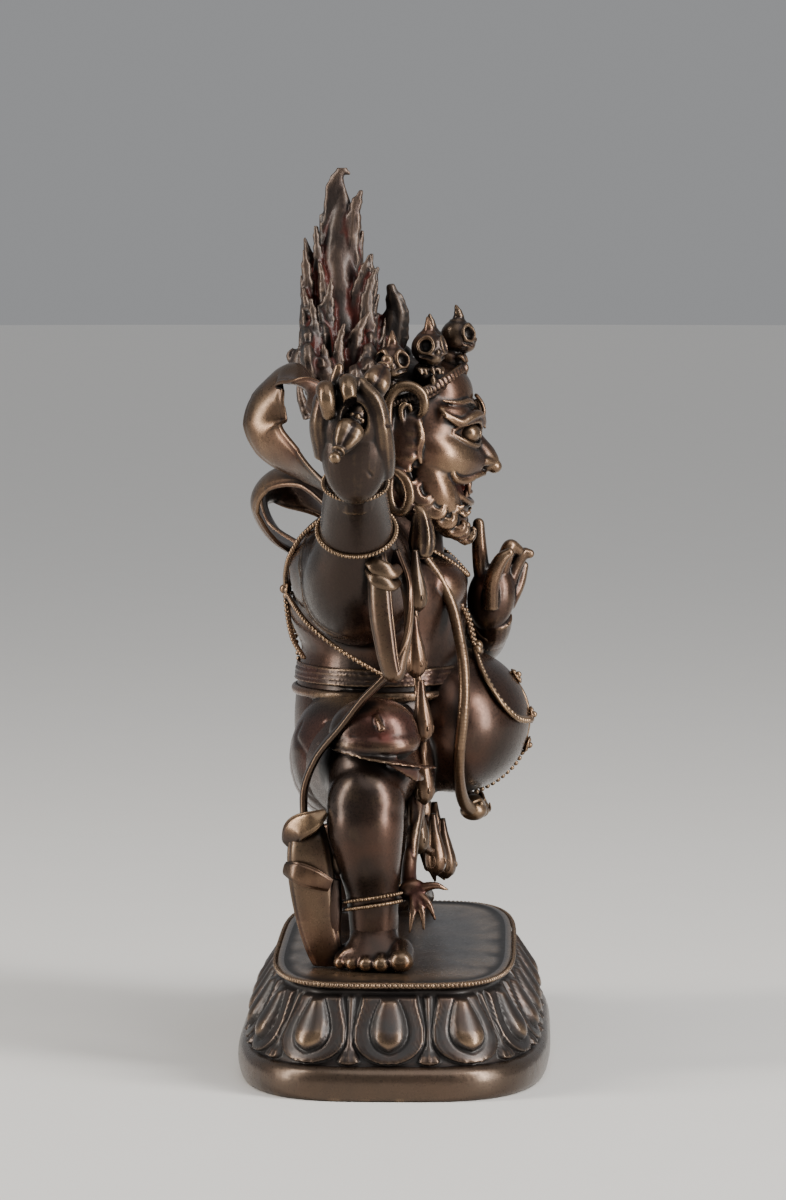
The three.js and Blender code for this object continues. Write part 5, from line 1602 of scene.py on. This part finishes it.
def tiger_forms():
    right_cloth = [(-6, 6, 67), (-18, 5.6, 70), (-28, 5.2, 71)]
    left_cloth = [(6, 6, 67), (17, 5.2, 63), (26, 4, 55)]
    nose = [(-41.6, 2.6, 80.4), (-43.4, 1.8, 78.6), (-44.6, 1, 77.2)]
    right_leg = [(-26, -6, 64), (-28, -5.4, 54), (-33.6, -4.4, 45), (-37.4, -4.6, 41.6)]
    left_leg = [(29, -4, 55), (33, -6.4, 44), (36, -8.4, 36)]
    lip = [
        (-30, 15.2, 73), (-35, 13, 73), (-40.6, 9.1, 72.3), (-44.6, 2.8, 71.1), (-43.4, -3, 70),
        (-40, -6.8, 69), (-33, -9.4, 68),
    ]
    flap = [(-43.6, 0.4, 70.6), (-42.6, -3.6, 69), (-40.2, -6, 67), (-36, -7.6, 66)]
    cloth = {"sides": 32, "steps": 30, "up": (0, 1, 0)}
    forms = [
        tube(right_cloth, [17.4, 16, 9.8], **cloth),
        tube(left_cloth, [17.4, 15.4, 12], **cloth),
        ball((-34.6, 3.4, 75.6), (8.7, 9.9, 8), around=36, down=28),
        ball((-35.8, 2.8, 74.2), (8.7, 9.9, 4.6), (0, -8, 0), around=36, down=24),
        tube(nose, [0.5, 0.8, 1], [0.4, 0.6, 0.7], sides=14, steps=20, up=(-1, 0, 0.4)),
        tube(lip, 1.5, 0.36, sides=14, steps=60, up=(-0.3, 0, 1)),
        tube(flap, [0.8, 1.6, 1.5, 0.8], 0.42, sides=12, steps=24, up=(-1, 0, 0.2)),
        tube(right_leg, [3, 1.6, 1.7, 2], sides=18, steps=28),
        tube(left_leg, [3.6, 2.4, 2], sides=18, steps=20),
    ]
    for z, grow, tall in (
        (88.2, 0.1, 0.42), (87.1, 0.3, 0.42), (86, 0.4, 0.42), (84.9, 0.5, 0.42), (82.4, 1.1, 1.2)
    ):
        forms.append(tube(belt_path(grow, z), 1.2, tall, up=(0, 0, 1), sides=14, steps=120, closed=True))
    paw = (-38, -5.4, 41.2)
    forms.append(ball(paw, (2, 3.2, 2.6)))
    for tip in ((-42.2, -4.7, 32.2), (-42, -7.9, 32.9), (-41.2, -10.4, 35), (-39, -13.2, 41.4)):
        middle = (np.array(paw) * 0.4 + np.array(tip) * 0.6) + (-0.9, -0.4, 1.2)
        forms.append(tube([paw, middle, tip], [1.4, 0.85, 0.3], sides=12, steps=14, up=(1, 0, 0)))
    for tip in ((38, -9, 32.4), (36.6, -11.4, 33), (34.6, -12, 35)):
        forms.append(tube([(35.6, -8, 37), tip], [1.4, 0.3], sides=10, steps=10, up=(1, 0, 0)))
    return forms


def dress_tiger_skin():
    piece = cast("tiger_skin", tiger_forms(), grain=0.4, soften=1)
    for middle, radii in (
        ((-44.2, 4.4, 79.9), (2, 2.1, 0.55)), ((-44.8, -2.4, 78.3), (2, 1.9, 0.55)),
        ((-45.8, 0.6, 75.9), (1.5, 1.4, 0.8)),
    ):
        hollow(piece, middle, radii, (1, 0, 0))

    def stripes(places):
        x, y, z = places.T
        wave = 1.5 * np.sin(z * 0.35) + 1.3 * ripple(places, 9, seed=31)
        band = np.abs((((y - 0.9 * x) * 0.7 + wave) / 4.2) % 1 - 0.5)
        gaps = soft_step(0.2, 0.5, ripple(places * (1, 1, 0.4), 5, seed=32) + 0.5)
        line = np.exp(-((band * 4.2 / 0.4) ** 2)) * gaps
        on_cloth = soft_step(80.4, 79, z) * soft_step(46, 50, z) * (y > -12)
        away = 1 - soft_step(1.25, 0.8, np.linalg.norm((places - (-38, 3, 74)) / (10, 12, 11), axis=1))
        return 0.26 * line * on_cloth * away

    def whiskers(places):
        total = np.zeros(len(places))
        for side in SIDES:
            for lift in (0, 1.4):
                line = [
                    (-44.4, 1 + side * 3, 73.8 + lift * 0.5), (-43, 1 + side * 6, 74.2 + lift),
                    (-39.6, 1 + side * 9, 74.8 + lift * 1.4),
                ]
                total += groove(places, line, 0.3, 0.1)
        return total

    carve(piece, lambda places: stripes(places) + whiskers(places))
    claw = near((-39, -12.8, 41.4), 1.6)
    belt = near((0, 2.2, 82), (40, 40, 1.2))

    def paint(places):
        return 0.35 * near((-36, -7, 45), 5)(places) + 0.6 * near((-44, 0.6, 75.6), (3, 2.4, 1.4))(places)

    material = finish(
        "tiger bronze", edge_wear=0.16, grime=1, smoothness=0.28, relief=0.2, warm=(0.07, 0.025, 0.017)
    )
    finish_figure(piece, material, rub_and_sheen=lambda places: 0.8 * claw(places) + 0.4 * belt(places), paint=paint)


# Snakes and the garland of heads

def dress_snakes():
    radius = sizes().snake / MM
    body = [
        (-15.4, -6.4, 114.4), (-15, -10.7, 108.3), (-15.6, -13.6, 102), (-17.4, -15.2, 95.5),
        (-20.6, -16.2, 90),
        (-22.9, -16.5, 84), (-23.5, -16.1, 77), (-22.2, -15.4, 70), (-17.8, -15.3, 63.4),
        (-11.4, -16.4, 57.4), (-6.4, -18.6, 54.8),
    ]
    scales = 88

    def scaly(times, angle):
        row = times * scales
        shift = (np.floor(row) % 2) * 0.5
        across = np.abs(((angle / FULL_TURN * 9 + shift) % 1) - 0.5) * 2
        lift = (row % 1) ** 1.5
        return 0.13 * lift * (1 - across ** 2) - 0.03

    forms = [
        tube(
            body, [radius * 0.9] + [radius] * 8 + [radius * 1.1, radius * 1.2], sides=27, steps=scales * 3,
            up=(1, 0, 0), relief=scaly,
        ),
        ball((-6, -18.4, 55), (3, 3.1, 2.3), (0, 0, 20), around=20, down=14),
        ball((-3.8, -20.2, 54.6), (1.9, 1.7, 1.5), around=14, down=10),
        ball((-7.2, -20, 56.6), 0.75, around=10, down=8),
        tube(
            [(-8.6, -18, 57), (-6.6, -19.8, 57.4), (-4, -20.8, 56)], [0.4, 0.6, 0.4], sides=8, steps=12,
            up=(0, 0, 1),
        ),
        tube(
            [(-2.4, -21.2, 54.2), (-0.6, -22, 54.6), (0.2, -22, 56)], [0.5, 0.4, 0.15], sides=8, steps=10,
            up=(0, 0, 1),
        ),
    ]
    piece = gather("snakes", both_sides(forms))
    finish_figure(piece, carved_metal(), rub_and_sheen=lambda places: 0.12 * soft_step(60, 110, places[:, 2]))


def severed_head(middle, out):
    """A small head that looks outwards, hung by a long cone of hair"""
    side = np.cross((0, 0, 1), out)
    down = np.array([0, 0, -1.0])

    def spot(ahead, aside, drop):
        return middle + out * ahead + side * aside + down * drop

    def locks(times, angle):
        return 0.07 * np.cos(angle * 9 + times * 5) * soft_step(0.2, 0.5, times) * soft_step(
            0.95, 0.8, times
        )

    drop = [
        spot(-0.2, 0, -10.4), spot(0, 0, -7), spot(0.4, 0, -3.8), spot(0.6, 0, -0.8), spot(0.6, 0, 1.8),
        spot(0.5, 0, 3.4),
    ]
    forms = [
        tube(drop, [0.7, 1.2, 1.8, 2.4, 2.1, 0.7], sides=30, steps=36, up=out, relief=locks),
        tube(
            [spot(2.6, 0, -1), spot(3, 0, 0.2), spot(2.7, 0, 0.7)], [0.2, 0.4, 0.3], sides=10, steps=8,
            up=side,
        ),
        tube(
            [spot(2.2, -1.1, 1.6), spot(2.6, 0, 1.4), spot(2.2, 1.1, 1.6)], 0.22, sides=8, steps=10,
            up=(0, 0, 1),
        ),
    ]
    for aside in SIDES:
        forms.append(ball(spot(2.4, aside * 0.95, -0.5), (0.35, 0.45, 0.35), around=10, down=8))
        for grow in (0.45, 0.8, 1.15):
            forms.append(hoop(
                spot(0.7, aside * (2.28 - 0.12 * grow), 0.2), (0.85 * grow, 1.3 * grow), 0.13, side,
                steps=18, sides=6,
            ))
    return forms


def garland_path():
    side = [
        (-19.4, -3, 114), (-24.6, -5.4, 105), (-26.6, -5.6, 96), (-28, -6.2, 86), (-28.6, -7.2, 76),
        (-27.4, -7.4, 62),
        (-21.6, -6.6, 51.4), (-11.4, -9.4, 45.6),
    ]
    return symmetric(side, (0, -10.8, 43))


def dress_garland():
    def twisted(times, angle):
        return 0.1 * np.sin(angle * 3 + times * 300)

    forms = [tube(garland_path(), 0.9, sides=18, steps=260, up=(0, 1, 0.02), relief=twisted)]
    spots = [
        (-24.8, -5.6, 105), (-27.4, -5.5, 90.6), (-28.6, -7, 76.4), (-27.2, -7.2, 62.4), (-21.4, -5.9, 50.6),
        (-10.8, -9.4, 44.4),
        (0, -11.4, 42),
    ]
    for x, y, z in spots + mirror_path(spots[:-1]):
        lean = np.clip(x / 24, -1, 1) * 0.95
        out = unit(np.array([lean, -1 + 0.45 * abs(lean), 0]))
        forms += severed_head(np.array([x, y, z]), out)
    piece = gather("head_garland", forms)
    finish_figure(piece, cloth_metal(), rub_and_sheen=lambda places: 0.06 * soft_step(-5, -12, places[:, 1]))


# Scarf

RIGHT_RIBBONS = [
    {
        "path": [
            (-47, 12, 130), (-38, 20, 134.6), (-31.4, 27.4, 141), (-30, 27.4, 149),
            (-30.6, 23.4, 154.6), (-36, 19, 153), (-50, 13, 147),
        ],
        "wide": [3, 4.6, 5.8, 5.6, 4.6, 3.8, 3],
        "up": [(0, 1, -1), (-0.8, 1, -0.6), (-1, 0.6, 0), (-0.6, 1, 0.8), (0, 0, 1), (0.4, -0.6, -1)],
        "cup": [0, -0.9, -1.2, -1.1, -0.8, -0.5, 0],
    },
    {
        "path": [
            (-42, 9, 124), (-32, 17, 131.4), (-24, 26.6, 131.4), (-19, 30.4, 126), (-14, 27.6, 118.4),
            (-8, 20, 113),
        ],
        "wide": [2.6, 3.8, 4.2, 4.2, 4, 3.4],
        "up": [(0, 0, 1), (0.2, 0.4, 1), (0, 1, 0.6), (0, 1, 0), (0, 1, -0.8), (0, 1, -1)],
        "cup": [0, -0.8, -1, -1, -0.6, 0],
    },
    {
        "path": [
            (-40, 3, 118), (-44.6, 2.2, 112), (-46, 1.4, 102), (-45.6, -1.4, 89.4),
            (-43.6, -4, 96), (-42, -4.4, 108), (-39, -1, 116),
        ],
        "wide": [2, 2.5, 2.7, 2, 1.7, 1.6, 1.6],
        "up": [(-1, 0.3, 0), (-1, 0.3, 0), (-1, 0.2, -0.6), (0.2, -1, -0.4), (1, -0.2, 0.2)],
        "cup": [0, -0.8, -0.8, -0.4, -0.4, -0.4, 0],
    },
    {
        "path": [
            (-42, -1, 90), (-41, 4.6, 84.6), (-38.6, 10, 78), (-36, 15.6, 71), (-35, 18.6, 63.4),
            (-36.4, 18.6, 55),
        ],
        "wide": [2.6, 2.8, 3.2, 3.4, 3.6, 3.6],
        "up": [(0, -0.6, 1), (0, 1, 1), (0, 1, 0.4), (0, 1, 0)],
    },
    {
        "path": [
            (-37.4, 17.6, 57), (-40.4, 17.6, 52), (-41, 17, 45), (-40.6, 15.8, 35), (-39.8, 14, 28),
            (-39, 12.6, 24.6),
        ],
        "wide": [3, 4.6, 5.2, 4.6, 4, 3.4],
        "thick": [1.2, 1.6, 1.5, 1.3, 1.2, 1.2],
        "up": (-1, 0.1, 0),
        "cup": [0, -0.8, -1.2, -1, -0.6, 0],
    },
    {
        "path": [(-38.4, 22, 51.4), (-41, 20.2, 55), (-42.2, 16.6, 57), (-41.4, 13.6, 59)],
        "wide": [1.8, 2.9, 2.4, 0.7],
        "thick": [0.9, 1.1, 1, 0.5],
        "up": (-0.9, 0.1, 0.4),
    },
    {
        "path": [(-40.4, 22.6, 46.4), (-43, 20, 45.8), (-43.8, 16.4, 44.6), (-43, 12.6, 43)],
        "wide": [1.4, 2.3, 2.3, 1.5],
        "thick": [0.7, 0.8, 0.8, 0.6],
        "up": (-1, 0, 0),
    },
    {
        "path": [(-40.6, 11.6, 44), (-40.6, 11.8, 38), (-40, 12, 31), (-39.2, 11.6, 26)],
        "wide": [1.1, 1.6, 1.5, 1],
        "thick": 0.8,
        "up": (-1, -0.5, 0),
    },
]
LEFT_RIBBONS = [
    {
        "path": [
            (33, 6, 108), (34, 15, 118), (28, 26.6, 126), (20, 30.4, 124), (14, 27.6, 117.4), (8, 20, 113)
        ],
        "wide": [2.6, 3.8, 4.2, 4.2, 4, 3.4],
        "up": [(0, 1, -1), (0, 1, -0.4), (0, 1, 0.6), (0, 1, 0), (0, 1, -0.8), (0, 1, -1)],
    },
    {
        "path": [
            (38, -1, 94), (41.6, 2.4, 88), (42.4, 3, 78), (41, 0.4, 68.6),
            (38.4, -2, 74), (36, -4, 84), (35, -6, 92),
        ],
        "wide": [2.4, 2.6, 2.8, 2.2, 2, 2, 2],
        "up": [(1, 0, 0), (1, 0, 0), (1, 0, -0.6), (-0.2, -1, -0.4), (-1, -0.2, 0.2)],
    },
    {
        "path": [(40, 1, 71), (37, 9, 63), (36, 14, 52), (38, 14, 42)],
        "wide": 3.6,
        "up": [(0, -0.6, 1), (0, 1, 1), (0, 1, 0.4), (0, 1, 0)],
    },
    {
        "path": [(38, 14, 46), (42, 13.6, 40), (44, 12.6, 33), (43.6, 12, 24.6)],
        "wide": [3.4, 5, 4.6, 3],
        "thick": [1.2, 1.6, 1.3, 1.2],
        "up": (1, 0, 0),
    },
]


def ribbon_hem(times, angle):
    """A ribbon has a thin line inside each hem"""
    across = np.abs(np.cos(angle))
    hem = 0.1 * np.exp(-(((across - 0.94) / 0.05) ** 2))
    line = -0.13 * np.exp(-(((across - 0.82) / 0.05) ** 2))
    return hem + line


def dress_scarf():
    thick = sizes().ribbon / MM
    forms = []
    for ribbon in RIGHT_RIBBONS + LEFT_RIBBONS:
        shape = {"thick": thick, **ribbon}
        forms.append(tube(**shape, sides=40, steps=90, relief=ribbon_hem, flat=0.35))
    forms.append(ball((-40.2, 10.6, 48.4), (1.1, 1.9, 3.6), (10, 0, 0)))
    forms.append(tube(
        [(-40.4, 9.4, 45.4), (-41.4, 9, 49), (-41.4, 9.6, 52), (-40.8, 11.2, 52.8)], [0.5, 0.7, 0.7, 0.4],
        up=(-1, 0, 0), sides=12, steps=24,
    ))
    knot = [(-43, 4.4, 115.4), (-45.6, 2.4, 113.4), (-45, -0.6, 112.2), (-42, -2.4, 112.6)]
    forms.append(tube(knot, [1.4, 1.8, 1.8, 1.3], [0.7, 0.8, 0.8, 0.7], up=(-1, 0, 0.3), sides=20, steps=30))
    forms.append(tube(
        [(x - 0.5, y, z - 2.9) for x, y, z in knot], [0.9, 1.5, 1.5, 0.9], [0.7, 0.8, 0.8, 0.6],
        up=(-1, 0, 0.3), sides=20, steps=30,
    ))
    piece = gather("scarf", forms)
    rest_on_plate(piece)

    def rub_and_sheen(places):
        fall = 0.6 * near((-42, 17, 57), (4, 6, 3))(places) + 0.25 * near((-43, 18, 45), (3, 5, 2.4))(places)
        loops = (
            0.25 * near((-30, 28, 140), (8, 6, 14))(places) + 0.25 * near((-22, 29, 126), (8, 5, 9))(places)
        )
        edge = 0.4 * near((-43, -4.4, 98), (3, 2.4, 12))(places)
        return fall + loops + edge

    finish_figure(piece, cloth_metal(), rub_and_sheen=rub_and_sheen)


# Painted shade between the forms

GRID_STEP = 0.9
GRID_LOW = np.array([-80, -45, -4.0])
GRID_SIZE = (160, 90, 210)
CROWD_REACHES = (1.6, 3.2)
CROWD_START = 0.28
CROWD_GAIN = 1.5


def box_blur(grid, half):
    """A grid evened out over a cube of cells round each one"""
    for axis in range(3):
        padded = np.concatenate([np.zeros_like(grid.take([0], axis)), np.cumsum(grid, axis)], axis)
        size = grid.shape[axis]
        high = np.minimum(np.arange(size) + half + 1, size)
        low = np.maximum(np.arange(size) - half, 0)
        grid = (padded.take(high, axis) - padded.take(low, axis)) / (2 * half + 1)
    return grid


MOST_TRIANGLES = {
    "head": 118000, "tiger_skin": 100000, "flame_hair": 92000, "body": 82000, "skull_crown": 56000,
    "raised_hand": 26000, "pointing_hand": 22000, "feet": 18000, "vajra": 16000,
}


def lighten_pieces():
    """Keeps each cast piece within its share of the scene's triangles"""
    for piece in PIECES:
        if piece.name in MOST_TRIANGLES:
            thin_out(piece, MOST_TRIANGLES[piece.name])


def paint_crowd_shade():
    """Marks on the lightened pieces how closely metal surrounds each place, where grime gathers"""
    lighten_pieces()
    shape = tuple(int(size / GRID_STEP) for size in GRID_SIZE)
    grid = np.zeros(shape, np.float32)
    sheets = []
    for piece in PIECES:
        places = read(piece.data) / MM
        sheets.append((piece, places, normals_of(piece.data)))
        index = tuple(((places - GRID_LOW) / GRID_STEP).astype(int).T)
        grid[index] = 1
    blurred = box_blur(grid, 2)
    for piece, places, normals in sheets:
        total = 0
        for reach in CROWD_REACHES:
            cell = ((places + normals * reach - GRID_LOW) / GRID_STEP).astype(int)
            index = tuple(np.clip(cell, 0, np.array(shape) - 1).T)
            total = total + blurred[index]
        # Painted shade: darker where metal crowds round a place
        store(piece.data, "crowd_shade", np.clip((total - CROWD_START) * CROWD_GAIN, 0, 1))


# Stage

FLOOR_RADIUS = 6
CAMERA_REACH = 1.125
CAMERA_HEIGHT = 0.1955
CAMERA_TURN = 1.5
CAMERA_PITCH = 4.74
CAMERA_LENS = 149.3


def area_light(name, place, target, size, power, colour):
    light = bpy.data.lights.new(name, "AREA")
    light.shape = "RECTANGLE"
    light.size, light.size_y = size
    light.energy = power
    light.color = colour
    lamp = bpy.data.objects.new(name, light)
    lamp.location = place
    way = np.array(target) - place
    lamp.rotation_euler = look_angles(way)
    bpy.context.scene.collection.objects.link(lamp)


def look_angles(way):
    return Vector(way).to_track_quat("-Z", "Y").to_euler()


def make_floor():
    bm = bmesh.new()
    bmesh.ops.create_circle(bm, cap_ends=True, segments=64, radius=FLOOR_RADIUS)
    mesh = bpy.data.meshes.new("floor")
    bm.to_mesh(mesh)
    bm.free()
    floor = bpy.data.objects.new("floor", mesh)
    bpy.context.scene.collection.objects.link(floor)
    paper = bpy.data.materials.new("pale floor")
    paper.use_nodes = True
    shader = paper.node_tree.nodes["Principled BSDF"]
    grain = noise(paper.node_tree, 40, 4)
    pale = colours().floor
    darker = [value * 0.97 for value in pale]
    tone = mix_colour(paper.node_tree, grain, (*darker, 1), (*pale, 1))
    paper.node_tree.links.new(tone, shader.inputs["Base Color"])
    shader.inputs["Roughness"].default_value = 0.6
    mesh.materials.append(paper)


def make_lights():
    world = bpy.data.worlds.new("studio")
    world.use_nodes = True
    backdrop = world.node_tree.nodes["Background"]
    backdrop.inputs["Color"].default_value = (0.74, 0.75, 0.77, 1)
    backdrop.inputs["Strength"].default_value = 0.4
    bpy.context.scene.world = world
    target = (0, 0, 0.1)
    area_light("left strip", (-0.22, 0.75, 0.4), target, (0.16, 0.9), 10, (1, 0.94, 0.86))
    area_light("right strip", (-0.4, -0.72, 0.42), target, (0.22, 0.9), 17, (1, 0.97, 0.93))
    sky = bpy.data.lights.new("overhead light", "SUN")
    sky.energy = 0.95
    sky.angle = math.radians(50)
    lamp = bpy.data.objects.new("overhead light", sky)
    lamp.rotation_euler = look_angles(np.array([0.35, 0.15, -1]))
    bpy.context.scene.collection.objects.link(lamp)


def make_camera():
    """The camera stands off the figure's right side and looks a little down"""
    turn = math.radians(CAMERA_TURN)
    pitch = math.radians(CAMERA_PITCH)
    aside = -CAMERA_REACH * math.sin(turn) + FIGURE_BACK * MM
    camera = bpy.data.cameras.new("camera")
    camera.sensor_fit = "AUTO"
    camera.sensor_width = 36
    camera.lens = CAMERA_LENS
    camera.clip_end = 20
    viewer = bpy.data.objects.new("camera", camera)
    viewer.location = (-CAMERA_REACH * math.cos(turn), aside, CAMERA_HEIGHT)
    way = np.array([math.cos(turn) * math.cos(pitch), math.sin(turn) * math.cos(pitch), -math.sin(pitch)])
    viewer.rotation_euler = look_angles(way)
    bpy.context.scene.collection.objects.link(viewer)
    bpy.context.scene.camera = viewer


def dress_stage():
    make_floor()
    make_lights()
    make_camera()


# Operators

class GuardianStep(bpy.types.Operator):
    """One step in making the statue"""

    bl_idname = "guardian.step"
    bl_label = "Step"
    make = None

    def execute(self, context):
        type(self).make()
        return {"FINISHED"}


def step(name, label, about, make):
    """An operator for one piece or group of like pieces"""
    fields = {
        "bl_idname": f"guardian.{name}", "bl_label": label, "__doc__": about, "make": staticmethod(make)
    }
    return type(f"GUARDIAN_OT_{name}", (GuardianStep,), fields)


STEPS = [
    step("plinth", "Lotus plinth", "Makes the petals, the foot, the beaded rim and the plate", dress_plinth),
    step("body", "Body", "Makes the trunk, belly, arms and legs", dress_body),
    step("hands", "Hands and feet", "Makes both hands and both feet", dress_hands_and_feet),
    step("beads", "Bead strings", "Makes the necklaces, armlets and anklets", dress_beads),
    step("head", "Head", "Makes the wrathful head with its beard and ears", dress_head),
    step("crown", "Skull crown", "Makes the crown of five skulls", dress_crown),
    step("hair", "Flame hair", "Makes the hair that stands up as a flame", dress_hair),
    step("vajra", "Vajra", "Makes the vajra in the raised hand", dress_vajra),
    step("tiger", "Tiger skin", "Makes the tiger skin round the loins", dress_tiger_skin),
    step("snakes", "Snakes", "Makes the two snakes on the chest", dress_snakes),
    step("garland", "Head garland", "Makes the long garland of heads", dress_garland),
    step("scarf", "Scarf", "Makes the loops and ends of the scarf", dress_scarf),
    # This step paints shade between the forms into the colour
    step("grime", "Grime", "Marks where grime gathers between the forms", paint_crowd_shade),
    step("stage", "Stage", "Makes the floor, the lights and the camera", dress_stage),
]


class GUARDIAN_PT_steps(bpy.types.Panel):
    """Lists the steps that make the statue"""

    bl_idname = "GUARDIAN_PT_steps"
    bl_label = "Guardian"
    bl_space_type = "VIEW_3D"
    bl_region_type = "UI"
    bl_category = "Guardian"

    def draw(self, context):
        for group in (context.scene.guardian_sizes, context.scene.guardian_colours):
            for name in group.bl_rna.properties.keys():
                if name not in ("rna_type", "name"):
                    self.layout.prop(group, name)
        for operator in STEPS:
            self.layout.operator(operator.bl_idname)


CLASSES = (GuardianSizes, GuardianColours, *STEPS, GUARDIAN_PT_steps)


def register():
    for each in CLASSES:
        bpy.utils.register_class(each)
    bpy.types.Scene.guardian_sizes = PointerProperty(type=GuardianSizes)
    bpy.types.Scene.guardian_colours = PointerProperty(type=GuardianColours)


def unregister():
    del bpy.types.Scene.guardian_colours
    del bpy.types.Scene.guardian_sizes
    for each in reversed(CLASSES):
        bpy.utils.unregister_class(each)


def main():
    register()
    for operator in STEPS:
        getattr(bpy.ops.guardian, operator.bl_idname.split(".")[1])()


if __name__ == "__main__":
    main()
